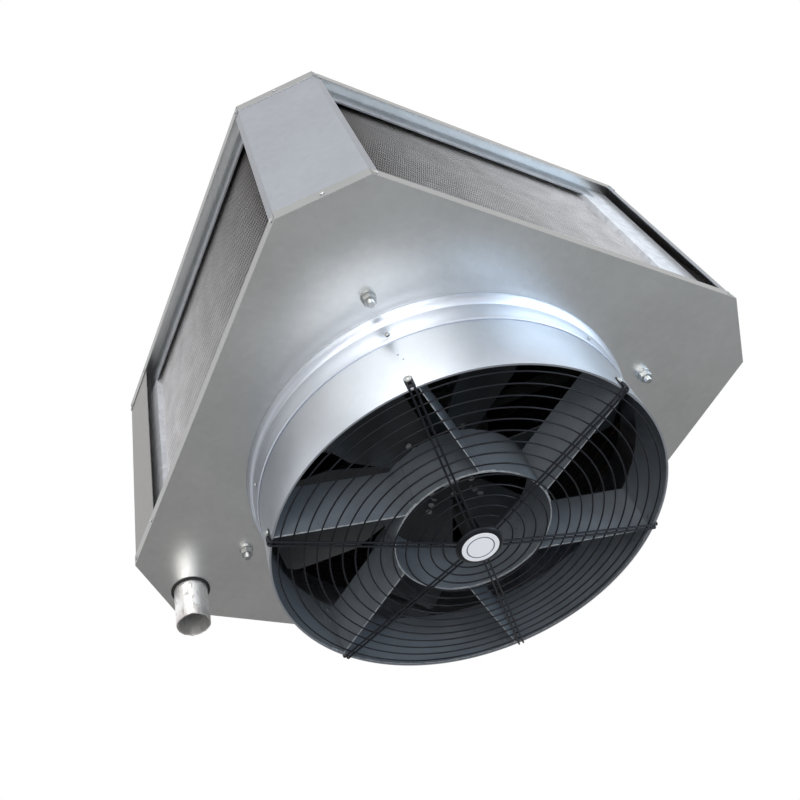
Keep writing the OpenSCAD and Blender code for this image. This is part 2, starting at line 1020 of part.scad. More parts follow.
module guard_screws() {
    color("gainsboro")
        at_spokes()
            translate([tab_x + tab_t + fit / 2, 0, tab_z])
                rotate([0, 90, 0]) {
                    tube(5.5, 2.1, 0, 1);
                    translate([0, 0, -7])
                        cylinder(r = 2, h = 8.1);
                    translate([0, 0, 1])
                        rotate_extrude()
                            intersection() {
                                translate([0, -4.6])
                                    circle(7.4);
                                square([4, 4]);
                            }
                }
}

// Plan of a band that follows the coil: two legs and the bend between them.
// The first leg lies along the left side, the second along the near side.
module coil_plan(front, back, end_1, end_2) {
    r_out = front - bend_c;
    r_in = back - bend_c;
    translate([-bend_c, -front])
        square([bend_c + end_2, front - back]);
    translate([-front, -bend_c])
        square([front - back, bend_c + end_1]);
    translate([-bend_c, -bend_c])
        intersection() {
            difference() {
                circle(r_out);
                circle(r_in);
            }
            translate([-r_out - 1, -r_out - 1])
                square(r_out + 1);
        }
}

// Plan of the fin pack, its straight faces grooved as the fin edges are
module fin_plan() {
    groove = 4;
    difference() {
        coil_plan(fin_front, fin_back, header_end - fit, return_end - fit);
        for (x = [-bend_c + fin_pitch : fin_pitch : return_end - fin_pitch / 2])
            for (y = [-fin_front - 1, -fin_back - groove])
                translate([x, y])
                    square([fin_pitch * 0.45, groove + 1]);
        for (y = [-bend_c + fin_pitch : fin_pitch : header_end - fin_pitch / 2])
            for (x = [-fin_front - 1, -fin_back - groove])
                translate([x, y])
                    square([groove + 1, fin_pitch * 0.45]);
    }
}

// One tube bent round the corner, as a wall section or as a full round
module bent_tube(row, r, r_hollow, end_1, end_2) {
    module section() {
        difference() {
            circle(r);
            if (r_hollow > 0)
                circle(r_hollow);
        }
    }
    translate([-bend_c, -row, 0])
        rotate([90, 0, 90])
            linear_extrude(bend_c + end_2)
                section();
    translate([-row, end_1, 0])
        rotate([90, 0, 0])
            linear_extrude(bend_c + end_1)
                section();
    translate([-bend_c, -bend_c, 0])
        rotate([0, 0, 180])
            rotate_extrude(angle = 90)
                translate([row - bend_c, 0])
                    section();
}

module at_levels() {
    for (i = [0 : tube_n - 1])
        translate([0, 0, tube_low + i * tube_pitch])
            children();
}

tube_start = header_x - header_r + 9;

// Moves the first coil to the opposite corner, its legs swapped so that both share the header corner
module second_coil() {
    mirror([1, -1, 0])
        rotate([0, 0, 180])
            children();
}

module fin_pack() {
    color("rosybrown")
        difference() {
            translate([0, 0, fin_low])
                linear_extrude(fin_high - fin_low)
                    fin_plan();
            at_levels()
                for (row = rows)
                    bent_tube(row, tube_r + 0.05, 0, header_end + 1, return_end + 1);
        }
}

module coil_tubes() {
    color("peru")
        at_levels()
            for (row = rows)
                bent_tube(row, tube_r, tube_r - tube_wall, tube_start, return_end + tube_out);
}

// Bends that carry the steam from the first coil's far end into the second
module crossover_bends() {
    color("peru")
        rotate([0, 0, 90])
            at_levels()
                for (row = rows)
                    bent_tube(row, tube_r, tube_r - tube_wall, -return_end - tube_out, -return_end - tube_out);
}

// Upper channel of a coil: a web over the fins, an outer flange with a hem and an inner lip
module channel() {
    color("slategray") {
        translate([0, 0, -channel_t])
            linear_extrude(channel_t)
                coil_plan(coil_front, fin_back - fit - channel_t, header_end + channel_end, return_end + channel_end);
        translate([0, 0, -channel_h])
            linear_extrude(channel_h)
                coil_plan(coil_front, coil_front - channel_t, header_end + channel_end, return_end + channel_end);
        translate([0, 0, -channel_h])
            linear_extrude(7)
                coil_plan(coil_front - channel_t, coil_front - 2 * channel_t, header_end, return_end);
        translate([0, 0, -channel_lip])
            linear_extrude(channel_lip)
                coil_plan(fin_back - fit, fin_back - fit - channel_t, header_end + channel_end,
                    return_end + channel_end);
    }
}

module top_channel() {
    translate([0, 0, plate_top - fit])
        channel();
}

module bottom_channel() {
    translate([0, 0, sheet_t + fit])
        mirror([0, 0, 1])
            channel();
}

// Tube sheet across the coil with a wide outer flange that closes the gap to the corner
module end_plate(end) {
    low = sheet_t + 2 * fit + channel_t;
    high = plate_top - 2 * fit - channel_t;
    front = coil_front - channel_t - fit;
    depth = front - fin_back;
    color("lightsteelblue")
        difference() {
            translate([0, 0, low])
                linear_extrude(high - low)
                    union() {
                        translate([end, -front])
                            square([channel_t, depth]);
                        translate([end, -front])
                            square([end_flange_w, channel_t]);
                    }
            at_levels()
                for (row = rows)
                    translate([end - 1, -row, 0])
                        rotate([0, 90, 0])
                            cylinder(r = tube_r + hole_gap, h = channel_t + 2);
        }
}

module end_plates() {
    end_plate(return_end);
    mirror([1, -1, 0])
        end_plate(header_end);
}

// Header pipe: an open end at the stub, a capped end inside, holes for the tubes
module header_pipe(open_z, cap_z) {
    color("darkgray")
        difference() {
            bar(header_r, min(open_z, cap_z), max(open_z, cap_z));
            if (open_z < cap_z)
                bar(header_r - pipe_wall, open_z - 1, cap_z - pipe_wall);
            else
                bar(header_r - pipe_wall, cap_z + pipe_wall, open_z + 1);
            at_levels()
                for (row = rows)
                    translate([header_y - row, -header_r - 1, 0])
                        rotate([-90, 0, 0])
                            cylinder(r = tube_r + 0.05, h = header_r + 1);
        }
}

module supply_header() {
    translate([-header_y, header_x, 0])
        header_pipe(casing_h + stub_gap - 0.05, fin_low);
}

module condensate_header() {
    translate([-header_x, header_y, 0])
        mirror([1, 1, 0])
            header_pipe(-stub_gap + 0.05, fin_high);
}

// Pipe ends welded to the headers just outside the casing
module pipe_stubs() {
    color("darkgray") {
        translate([-header_x, header_y, 0])
            tube(pipe_r, pipe_r - pipe_wall, -stub_l, -stub_gap);
        translate([-header_y, header_x, 0])
            tube(pipe_r, pipe_r - pipe_wall, casing_h + stub_gap, casing_h + stub_l);
    }
}

grommet_t = 3.5;

module grommet() {
    tube(pipe_r + grommet_t - fit, header_r + 0.05, -1, sheet_t + 1);
    tube(pipe_r + grommet_t + 1.5, header_r + 0.05, -1.6, -fit);
}

module pipe_grommets() {
    color("#202326") {
        translate([-header_x, header_y, 0])
            grommet();
        translate([-header_y, header_x, casing_h])
            mirror([0, 0, 1])
                grommet();
    }
}

hang() bottom_plate();
hang() top_plate();
hang() corner_panel(0);  // corner_panel_1
hang() corner_panel(90);  // corner_panel_2
hang() corner_panel(180);  // corner_panel_3
hang() header_cover();
hang() panel_screws();
hang() neck_ring();
hang() outlet_collar();
hang() collar_screws();
hang() vane_sleeve();
hang() vane_drum();
hang() vane_plate(0);  // guide_vane_1
hang() vane_plate(1);  // guide_vane_2
hang() vane_plate(2);  // guide_vane_3
hang() vane_plate(3);  // guide_vane_4
hang() vane_plate(4);  // guide_vane_5
hang() vane_plate(5);  // guide_vane_6
hang() vane_rivets();
hang() impeller_hub();
hang() blade(0);  // blade_1
hang() blade(1);  // blade_2
hang() blade(2);  // blade_3
hang() blade(3);  // blade_4
hang() blade(4);  // blade_5
hang() blade(5);  // blade_6
hang() blade_bolts();
hang() motor_shaft();
hang() motor_fan();
hang() motor_bolts();
hang() motor_bearings();
hang() motor_body();
hang() motor_flange();
hang() { motor_cowl(); cowl_spokes(); }
hang() terminal_box();
hang() cable_gland();
hang() motor_spider();
hang() tie_rods();
hang() nuts();
hang() washers();
hang() guard_rings();
hang() guard_spokes();
hang() guard_dish();
hang() guard_disc();
hang() guard_screws();
hang() fin_pack();  // fin_pack_1
hang() second_coil() fin_pack();  // fin_pack_2
hang() coil_tubes();  // coil_tubes_1
hang() second_coil() coil_tubes();  // coil_tubes_2
hang() crossover_bends();
hang() top_channel();  // top_channel_1
hang() second_coil() top_channel();  // top_channel_2
hang() bottom_channel();  // bottom_channel_1
hang() second_coil() bottom_channel();  // bottom_channel_2
hang() end_plates();  // end_plates_1
hang() second_coil() end_plates();  // end_plates_2
hang() supply_header();
hang() condensate_header();
hang() pipe_stubs();
hang() pipe_grommets();
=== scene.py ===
import json
import math
import random

import bmesh
import bpy
from mathutils import Matrix, Vector

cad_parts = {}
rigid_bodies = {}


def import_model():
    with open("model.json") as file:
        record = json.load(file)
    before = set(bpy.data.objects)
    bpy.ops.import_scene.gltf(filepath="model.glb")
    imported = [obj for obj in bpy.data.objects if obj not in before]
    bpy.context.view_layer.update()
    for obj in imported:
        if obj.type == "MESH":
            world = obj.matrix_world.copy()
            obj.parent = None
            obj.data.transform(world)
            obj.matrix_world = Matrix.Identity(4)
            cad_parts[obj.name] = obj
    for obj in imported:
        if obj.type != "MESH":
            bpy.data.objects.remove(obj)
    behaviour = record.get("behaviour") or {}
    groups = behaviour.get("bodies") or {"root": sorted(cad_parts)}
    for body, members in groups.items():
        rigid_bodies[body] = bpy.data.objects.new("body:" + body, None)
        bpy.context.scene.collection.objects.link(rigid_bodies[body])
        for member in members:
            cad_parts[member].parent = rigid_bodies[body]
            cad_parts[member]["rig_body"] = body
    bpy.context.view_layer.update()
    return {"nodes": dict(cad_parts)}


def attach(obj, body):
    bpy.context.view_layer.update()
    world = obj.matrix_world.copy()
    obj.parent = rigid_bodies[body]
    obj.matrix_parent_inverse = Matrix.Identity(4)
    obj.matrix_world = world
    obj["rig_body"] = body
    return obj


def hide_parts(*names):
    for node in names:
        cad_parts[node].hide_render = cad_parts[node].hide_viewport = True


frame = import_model()
nodes = frame["nodes"]
scene = bpy.context.scene
collection = scene.collection
hangHeight = 0.4833  # stud nuts above the underside of the bottom plate, in metres


def place(x, y, z):
    # millimetres, written from the bottom plate, to metres in the frame
    return Vector((x / 1000, y / 1000, z / 1000 - hangHeight))


# small helpers for node trees
def setInputs(tree, node, values):
    # a socket is linked to the input, any other value is set on it
    for key, value in values.items():
        if isinstance(value, bpy.types.NodeSocket):
            tree.links.new(value, node.inputs[key])
        else:
            node.inputs[key].default_value = value
    return node


def put(tree, kind, values=None, **settings):
    node = tree.nodes.new(kind)
    for key, value in settings.items():
        setattr(node, key, value)
    return setInputs(tree, node, values or {})


def sums(tree, operation, *values, clamp=False):
    inputs = dict(enumerate(values))
    return put(tree, "ShaderNodeMath", inputs, operation=operation, use_clamp=clamp).outputs[0]


def times(tree, first, second, **settings):
    return sums(tree, "MULTIPLY", first, second, **settings)


def plus(tree, first, second, **settings):
    return sums(tree, "ADD", first, second, **settings)


def swing(tree, value, amount, middle=0.5):
    # how far a value is from its middle, as strong as the amount
    return times(tree, sums(tree, "SUBTRACT", value, middle), amount)


def remap(tree, value, low, high, toLow=0.0, toHigh=1.0):
    values = {"Value": value, "From Min": low, "From Max": high, "To Min": toLow, "To Max": toHigh}
    return put(tree, "ShaderNodeMapRange", values).outputs[0]


def objectPoint(tree):
    return put(tree, "ShaderNodeTexCoord").outputs["Object"]


def axisOf(tree, vector, axis):
    return put(tree, "ShaderNodeSeparateXYZ", {"Vector": vector}).outputs[axis]


def vectorZ(tree, value):
    return put(tree, "ShaderNodeCombineXYZ", {"Z": value}).outputs[0]


def facingUp(tree):
    # 1 on faces that look up, -1 on faces that look down
    return axisOf(tree, put(tree, "ShaderNodeNewGeometry").outputs["Normal"], "Z")


def noiseOf(tree, vector, scale, detail, roughness=0.5):
    values = {"Vector": vector, "Scale": scale, "Detail": detail, "Roughness": roughness}
    return put(tree, "ShaderNodeTexNoise", values).outputs[0]


def newGroup(name, kind, inputs, outputs):
    # inputs are a label, a socket type and a value, outputs a label and a type
    tree = bpy.data.node_groups.new(name, kind)
    for label, socketType, value in inputs:
        socket = tree.interface.new_socket(label, in_out="INPUT", socket_type="NodeSocket" + socketType)
        if value is not None:
            socket.default_value = value
    for label, socketType in outputs:
        tree.interface.new_socket(label, in_out="OUTPUT", socket_type="NodeSocket" + socketType)
    return tree, tree.nodes.new("NodeGroupInput").outputs, tree.nodes.new("NodeGroupOutput")


# shared surface effects
sheetPattern = dict(streakStretch=(7.0, 160.0, 7.0), cloudScale=9.0, cloud=0.16, roughShare=0.5)


def makeSheetGrain():
    # zinc spangle, rolling streaks and slow dents of thin sheet
    tree, given, out = newGroup("sheetGrain", "ShaderNodeTree",
        [("Spangle Scale", "Float", 90.0), ("Spangle", "Float", 0.1), ("Streak", "Float", 0.1),
         ("Dent Scale", "Float", 5.0)],
        [("Tone", "Float"), ("Rough", "Float"), ("Height", "Float")])
    coords = objectPoint(tree)
    cells = put(tree, "ShaderNodeTexVoronoi", {"Vector": coords, "Scale": given["Spangle Scale"]})
    cell = put(tree, "ShaderNodeSeparateColor", {"Color": cells.outputs["Color"]}).outputs[0]
    mapping = {"Vector": coords, "Scale": sheetPattern["streakStretch"]}
    stretched = put(tree, "ShaderNodeMapping", mapping).outputs[0]
    spangle = swing(tree, cell, given["Spangle"])
    streak = swing(tree, noiseOf(tree, stretched, 1.0, 3.0), given["Streak"])
    cloud = swing(tree, noiseOf(tree, coords, sheetPattern["cloudScale"], 4.0), sheetPattern["cloud"])
    tone = plus(tree, plus(tree, spangle, streak), plus(tree, cloud, 1.0))
    rough = times(tree, plus(tree, streak, cloud), sheetPattern["roughShare"])
    dent = noiseOf(tree, coords, given["Dent Scale"], 1.0)
    setInputs(tree, out, {"Tone": tone, "Rough": rough, "Height": dent})
    return tree


dustPattern = dict(lyingFrom=-0.2, onWalls=0.15, patchFrom=0.42, patchTo=0.75, uneven=0.65)


def makeDust():
    # pale dust that lies thicker on faces that look up, in uneven patches
    tree, given, out = newGroup("dust", "ShaderNodeTree",
        [("Amount", "Float", 0.3), ("Patch Scale", "Float", 30.0)], [("Mask", "Float")])
    lying = remap(tree, facingUp(tree), dustPattern["lyingFrom"], 1.0, dustPattern["onWalls"], 1.0)
    noise = noiseOf(tree, objectPoint(tree), given["Patch Scale"], 5.0, dustPattern["uneven"])
    patch = remap(tree, noise, dustPattern["patchFrom"], dustPattern["patchTo"])
    mask = times(tree, patch, times(tree, lying, given["Amount"]), clamp=True)
    setInputs(tree, out, {"Mask": mask})
    return tree


def makeFineGrain():
    # orange peel of paint or the grain of moulded and rolled faces
    tree, given, out = newGroup("fineGrain", "ShaderNodeTree",
        [("Scale", "Float", 600.0), ("Broad Scale", "Float", 22.0), ("Broad", "Float", 0.5)],
        [("Tone", "Float"), ("Height", "Float")])
    coords = objectPoint(tree)
    broad = noiseOf(tree, coords, given["Broad Scale"], 4.0)
    tone = plus(tree, swing(tree, broad, given["Broad"]), 1.0)
    setInputs(tree, out, {"Tone": tone, "Height": noiseOf(tree, coords, given["Scale"], 2.0)})
    return tree


def makeEdgeWear():
    # paint rubbed thin along the lowest edges of the vanes, together with a painted highlight on these edges
    tree, given, out = newGroup("edgeWear", "ShaderNodeTree",
        [("Level", "Float", 0.0), ("Width", "Float", 0.0022), ("Chip Scale", "Float", 130.0)],
        [("Mask", "Float")])
    coords = objectPoint(tree)
    chips = noiseOf(tree, coords, given["Chip Scale"], 3.0)
    above = sums(tree, "SUBTRACT", axisOf(tree, coords, "Z"), given["Level"])
    reach = times(tree, given["Width"], plus(tree, chips, 0.5))
    worn = sums(tree, "LESS_THAN", above, reach)
    mask = times(tree, worn, remap(tree, chips, 0.3, 0.6, 0.35, 0.8))
    setInputs(tree, out, {"Mask": mask})
    return tree


sheetGrain = makeSheetGrain()
edgeWear = makeEdgeWear()
dustGroup = makeDust()
fineGrain = makeFineGrain()


def useGroup(tree, group, values):
    return put(tree, "ShaderNodeGroup", values, node_tree=group).outputs


def startMaterial(name):
    material = bpy.data.materials.new(name)
    material.use_nodes = True
    tree = material.node_tree
    return material, tree, tree.nodes["Principled BSDF"]


def shade(tree, color, tone):
    # one colour, made lighter and darker by a tone around 1
    return put(tree, "ShaderNodeVectorMath", {0: color, "Scale": tone}, operation="SCALE").outputs[0]


def blendColors(tree, factor, first, second):
    values = {"Factor": factor}
    for key, value in ((6, first), (7, second)):  # the colour sockets of the mix node
        values[key] = value if isinstance(value, bpy.types.NodeSocket) else (*value, 1.0)
    return put(tree, "ShaderNodeMix", values, data_type="RGBA").outputs[2]


def bump(tree, bsdf, height, distance):
    values = {"Height": height, "Strength": 1.0, "Distance": distance}
    setInputs(tree, bsdf, {"Normal": put(tree, "ShaderNodeBump", values).outputs[0]})


# sheet metal; a look has these values unless its own line says otherwise, dents in metres
plainSheet = dict(spangle=0.05, streak=0.05, dust=0.05, dent=0.0006, metal=1.0)
sheetLooks = {
    "casingZinc": dict(color=(0.84, 0.85, 0.84), rough=0.32, spangle=0.04, streak=0.03, dust=0.03,
        dent=0.0010, lip=0.40),  # painted shade: the folded lips are darker than the flat of the sheet
    "panelSteel": dict(color=(0.32, 0.335, 0.365), rough=0.42),
    # painted reflection: the header cover is panel steel made darker and browner for the ground that it
    # mirrors
    "coverSteel": dict(color=(0.28, 0.275, 0.265), rough=0.42),
    "collarSteel": dict(color=(0.64, 0.68, 0.75), rough=0.31, spangle=0.03, streak=0.03),
    "neckSteel": dict(color=(0.60, 0.64, 0.72), rough=0.40, spangle=0.03, streak=0.03),
    "channelZinc": dict(color=(0.57, 0.60, 0.64), rough=0.42, spangle=0.16, streak=0.10, dust=0.20,
        dent=0.0004),
    "endPlateZinc": dict(color=(0.70, 0.72, 0.76), rough=0.50, spangle=0.22, streak=0.10, dust=0.60,
        dent=0.0004, metal=0.3),
}
sheetDust = dict(color=(0.55, 0.53, 0.49), rough=0.3, metal=0.2)


def makeSheetMaterial(name):
    look = {**plainSheet, **sheetLooks[name]}
    material, tree, bsdf = startMaterial(name)
    grain = useGroup(tree, sheetGrain, {"Spangle": look["spangle"], "Streak": look["streak"]})
    dust = useGroup(tree, dustGroup, {"Amount": look["dust"]})["Mask"]
    tone = grain["Tone"]
    # painted shade: faces that look sideways, such as the folded lips, are darkened
    if "lip" in look:
        flat = sums(tree, "ABSOLUTE", facingUp(tree))
        tone = times(tree, tone, remap(tree, flat, 0.3, 0.9, look["lip"], 1.0))
    rough = plus(tree, grain["Rough"], look["rough"])
    setInputs(tree, bsdf, {
        "Base Color": blendColors(tree, dust, shade(tree, look["color"], tone), sheetDust["color"]),
        "Roughness": plus(tree, rough, times(tree, dust, sheetDust["rough"]), clamp=True),
        "Metallic": remap(tree, dust, 0.0, 1.0, look["metal"], sheetDust["metal"])})
    bump(tree, bsdf, grain["Height"], look["dent"])
    return material


# coated, moulded and machined faces; scale and depth are the grain's, edge is where the paint wears and a
# painted highlight lies
plainPaint = dict(metal=0.0, shine=0.5)
paintLooks = {
    "vanePaint": dict(color=(0.148, 0.168, 0.194), rough=0.31, scale=500.0, depth=0.00004, dust=0.10,
        edge=-0.6572),
    "bladePaint": dict(color=(0.030, 0.036, 0.042), rough=0.42, scale=400.0, depth=0.00005, dust=0.25),
    "hubPaint": dict(color=(0.018, 0.019, 0.020), rough=0.45, scale=400.0, depth=0.00006, dust=0.25),
    "motorPaint": dict(color=(0.10, 0.125, 0.15), rough=0.42, scale=350.0, depth=0.00008, dust=0.45),
    "guardBlack": dict(color=(0.009, 0.010, 0.014), rough=0.36, scale=900.0, depth=0.00002, dust=0.03,
        shine=0.22),
    "blackPlastic": dict(color=(0.020, 0.021, 0.022), rough=0.50, scale=700.0, depth=0.00005, dust=0.20),
    "grommetRubber": dict(color=(0.016, 0.016, 0.017), rough=0.75, scale=500.0, depth=0.00008, dust=0.20),
    "zincFastener": dict(color=(0.50, 0.51, 0.51), rough=0.42, scale=900.0, depth=0.00003, dust=0.05,
        metal=1.0),
    "machinedSteel": dict(color=(0.56, 0.57, 0.58), rough=0.25, scale=900.0, depth=0.00002, dust=0.0,
        metal=1.0),
    "copperTube": dict(color=(0.62, 0.34, 0.22), rough=0.38, scale=300.0, depth=0.00004, dust=0.15,
        metal=1.0),
}
paintDust = dict(color=(0.36, 0.35, 0.33), rough=0.35, grainRough=0.35, worn=(0.50, 0.52, 0.54))


def makePaintMaterial(name):
    look = {**plainPaint, **paintLooks[name]}
    material, tree, bsdf = startMaterial(name)
    grain = useGroup(tree, fineGrain, {"Scale": look["scale"]})
    dust = useGroup(tree, dustGroup, {"Amount": look["dust"]})["Mask"]
    color = blendColors(tree, dust, shade(tree, look["color"], grain["Tone"]), paintDust["color"])
    # paler lowest edges: paint wear together with a painted highlight
    if "edge" in look:
        worn = useGroup(tree, edgeWear, {"Level": look["edge"]})["Mask"]
        color = blendColors(tree, worn, color, paintDust["worn"])
    rough = plus(tree, swing(tree, grain["Tone"], paintDust["grainRough"], 1.0), look["rough"])
    rough = plus(tree, rough, times(tree, dust, paintDust["rough"]))
    setInputs(tree, bsdf, {"Base Color": color, "Roughness": rough, "Metallic": look["metal"],
        "Specular IOR Level": look["shine"]})
    bump(tree, bsdf, grain["Height"], look["depth"])
    return material


# corner and far are the sums of x and y where the fins are darkest and where that ends, in metres
finLook = dict(color=(0.94, 0.93, 0.95), rowHighlight=(1.0, 1.0, 1.0), deep=(0.045, 0.045, 0.047), rough=0.38,
    metal=0.35, firstTube=0.0450, tubeStep=0.038, band=0.010, bandShare=0.6, front=0.418,
    gapShadeFrom=0.0002, gapShadeTo=0.0017, gapShadeFar=0.4, innerShadeFrom=0.012, innerShadeTo=0.030, corner=-0.76, far=-0.22,
    dirt=0.62, grime=(0.30, 0.22, 0.17), grimeShare=0.6, grimeReach=0.22, dust=(0.42, 0.39, 0.36),
    dustAmount=0.5, dustPatch=14.0, dustRough=0.3, grainScale=160.0, grain=0.0002)


def makeFinMaterial():
    # thin fins: warm grey aluminium, a paler line along each row of tubes as a painted highlight, dust, and
    # painted shade between the fins
    material, tree, bsdf = startMaterial("finAluminium")
    coords = objectPoint(tree)
    x, y, height = (axisOf(tree, coords, axis) for axis in "XYZ")
    half = finLook["tubeStep"] / 2
    fromTube = plus(tree, height, hangHeight - finLook["firstTube"] + half)
    beside = sums(tree, "SUBTRACT", sums(tree, "MODULO", fromTube, finLook["tubeStep"]), half)
    line = remap(tree, sums(tree, "ABSOLUTE", beside), 0.0, finLook["band"] / 2, 1.0, 0.0)
    away = remap(tree, plus(tree, x, y), finLook["corner"], finLook["far"])  # from the near corner
    grain = useGroup(tree, fineGrain, {"Scale": finLook["grainScale"]})
    # the fins get darker towards the near corner
    tone = times(tree, grain["Tone"], remap(tree, away, 0.0, 1.0, finLook["dirt"], 1.0))
    settled = {"Amount": finLook["dustAmount"], "Patch Scale": finLook["dustPatch"]}
    dust = useGroup(tree, dustGroup, settled)["Mask"]
    # painted highlight: a paler line along each row of tubes, fading towards the near corner
    band = times(tree, line, times(tree, away, finLook["bandShare"]))
    base = blendColors(tree, band, shade(tree, finLook["color"], tone), finLook["rowHighlight"])
    dusty = blendColors(tree, dust, base, finLook["dust"])
    patches = remap(tree, grain["Tone"], 0.85, 1.1)
    nearCorner = times(tree, remap(tree, away, 0.0, finLook["grimeReach"], 1.0, 0.0), patches)
    grimy = times(tree, nearCorner, finLook["grimeShare"])
    dusty = blendColors(tree, grimy, dusty, finLook["grime"])
    outward = sums(tree, "MAXIMUM", sums(tree, "ABSOLUTE", x), sums(tree, "ABSOLUTE", y))
    inside = sums(tree, "SUBTRACT", finLook["front"], outward)  # painted shade: faces deep between the fins are darkened
    # painted shade: darker deep between the fins, stronger towards the near corner, and dark all over further
    # inside the packs
    shadow = times(tree, remap(tree, inside, finLook["gapShadeFrom"], finLook["gapShadeTo"]),
        remap(tree, away, 0.0, 1.0, 1.0, finLook["gapShadeFar"]))
    shadow = sums(tree, "MAXIMUM", shadow, remap(tree, inside, finLook["innerShadeFrom"], finLook["innerShadeTo"]))
    setInputs(tree, bsdf, {
        "Base Color": blendColors(tree, shadow, dusty, finLook["deep"]), "Metallic": finLook["metal"],
        "Roughness": plus(tree, times(tree, dust, finLook["dustRough"]), finLook["rough"])})
    bump(tree, bsdf, grain["Height"], finLook["grain"])
    return material


pipeLook = dict(color=(1.0, 1.0, 1.0), tint=(0.30, 0.25, 0.22), tintShare=0.6, tintFrom=-0.520,
    tintTo=-0.552, rust=(0.10, 0.075, 0.06), rustShare=0.42, rough=0.34, rustRough=0.3, metal=0.85,
    spotScale=55.0, dripStretch=(150.0, 150.0, 34.0), uneven=0.03, grainScale=350.0, grain=0.0003)


def makePipeMaterial():
    # bare steel with a straw-coloured heat tint near the cut end, rust spots and drips
    material, tree, bsdf = startMaterial("pipeSteel")
    coords = objectPoint(tree)
    noise = noiseOf(tree, coords, pipeLook["spotScale"], 6.0, 0.7)
    waves = times(tree, noise, pipeLook["uneven"])
    uneven = plus(tree, axisOf(tree, coords, "Z"), waves)
    endBand = remap(tree, uneven, pipeLook["tintTo"], pipeLook["tintFrom"], 1.0, 0.0)
    mapping = {"Vector": coords, "Scale": pipeLook["dripStretch"]}
    drips = noiseOf(tree, put(tree, "ShaderNodeMapping", mapping).outputs[0], 1.0, 4.0)
    spots = sums(tree, "MAXIMUM", remap(tree, noise, 0.54, 0.66), remap(tree, drips, 0.56, 0.70))
    grain = useGroup(tree, fineGrain, {"Scale": pipeLook["grainScale"]})
    tinted = blendColors(tree, times(tree, endBand, pipeLook["tintShare"]),
        shade(tree, pipeLook["color"], grain["Tone"]), pipeLook["tint"])
    rusty = times(tree, spots, pipeLook["rustShare"])
    rough = plus(tree, times(tree, spots, pipeLook["rustRough"]), pipeLook["rough"])
    setInputs(tree, bsdf, {"Base Color": blendColors(tree, rusty, tinted, pipeLook["rust"]),
        "Metallic": pipeLook["metal"], "Roughness": rough})
    bump(tree, bsdf, plus(tree, grain["Height"], noise), pipeLook["grain"])
    return material


discLook = dict(face=(0.97, 0.96, 1.0), print=(0.10, 0.11, 0.15), ring=0.0225, lineWidth=0.0012,
    rough=0.32, grainScale=300.0, grain=0.00002)


def makeDiscMaterial():
    # white enamel disc with one plain printed ring
    material, tree, bsdf = startMaterial("discWhite")
    flat = {0: objectPoint(tree), 1: (1.0, 1.0, 0.0)}
    level = put(tree, "ShaderNodeVectorMath", flat, operation="MULTIPLY").outputs[0]
    radius = put(tree, "ShaderNodeVectorMath", {0: level}, operation="LENGTH").outputs["Value"]
    off = sums(tree, "ABSOLUTE", sums(tree, "SUBTRACT", radius, discLook["ring"]))
    line = remap(tree, off, discLook["lineWidth"] * 0.6, discLook["lineWidth"], 1.0, 0.0)
    grain = useGroup(tree, fineGrain, {"Scale": discLook["grainScale"]})
    face = shade(tree, discLook["face"], remap(tree, grain["Tone"], 0.5, 1.5, 0.96, 1.04))
    setInputs(tree, bsdf, {"Base Color": blendColors(tree, line, face, discLook["print"]),
        "Roughness": discLook["rough"]})
    bump(tree, bsdf, grain["Height"], discLook["grain"])
    return material


materials = {name: makeSheetMaterial(name) for name in sheetLooks}
materials.update({name: makePaintMaterial(name) for name in paintLooks})
materials["finAluminium"] = makeFinMaterial()
materials["pipeSteel"] = makePipeMaterial()
materials["discWhite"] = makeDiscMaterial()
print("materials:", len(materials))


def snakeName(name):
    # casingZinc becomes casing_zinc
    return "".join("_" + letter.lower() if letter.isupper() else letter for letter in name)


recordSlots = {look: snakeName(look) for look in materials}
recordSlots.update(coverSteel="panel_steel", neckSteel="collar_steel", endPlateZinc="channel_zinc")


# small helpers for meshes
def circle(radius, height, steps):
    # points round Z
    turns = [2 * math.pi * k / steps for k in range(steps)]
    return [(radius * math.cos(a), radius * math.sin(a), height) for a in turns]


def addRing(shape, points):
    # points in millimetres become corners in metres
    return [shape.verts.new((x / 1000, y / 1000, z / 1000)) for x, y, z in points]


def bridge(shape, rings, steps):
    # faces from each ring of corners to the next; a ring of one corner closes the shape
    for low, high in zip(rings, rings[1:]):
        for k in range(steps):
            n = (k + 1) % steps
            corners = [low[k % len(low)], low[n % len(low)], high[n % len(high)], high[k % len(high)]]
            shape.faces.new(list(dict.fromkeys(corners)))


def closeTurn(shape, profiles):
    # faces between closed profiles that stand all round the axis
    count = len(profiles[0])
    for near, far in zip(profiles, profiles[1:] + profiles[:1]):
        for i in range(count):
            j = (i + 1) % count
            shape.faces.new((near[i], far[i], far[j], near[j]))


def bake(shape, name, outwards=True):
    # mesh data from a bmesh, with its faces turned outwards where they may not be
    if outwards:
        bmesh.ops.recalc_face_normals(shape, faces=shape.faces)
    mesh = bpy.data.meshes.new(name)
    shape.to_mesh(mesh)
    shape.free()
    return mesh


def finishPiece(name, mesh, look, body, replaced, smoothAngle=35.0):
    # a finished mesh gets its material, its body and the CAD nodes that it stands for
    mesh.materials.clear()
    mesh.materials.append(materials[look])
    for polygon in mesh.polygons:
        polygon.use_smooth = True
        polygon.material_index = 0
    mesh.set_sharp_from_angle(angle=math.radians(smoothAngle))
    piece = bpy.data.objects.new(name, mesh)
    collection.objects.link(piece)
    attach(piece, body)
    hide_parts(*replaced)
    return piece


copying = dict(merge=0.00001, flatAngle=0.4, segments=2)


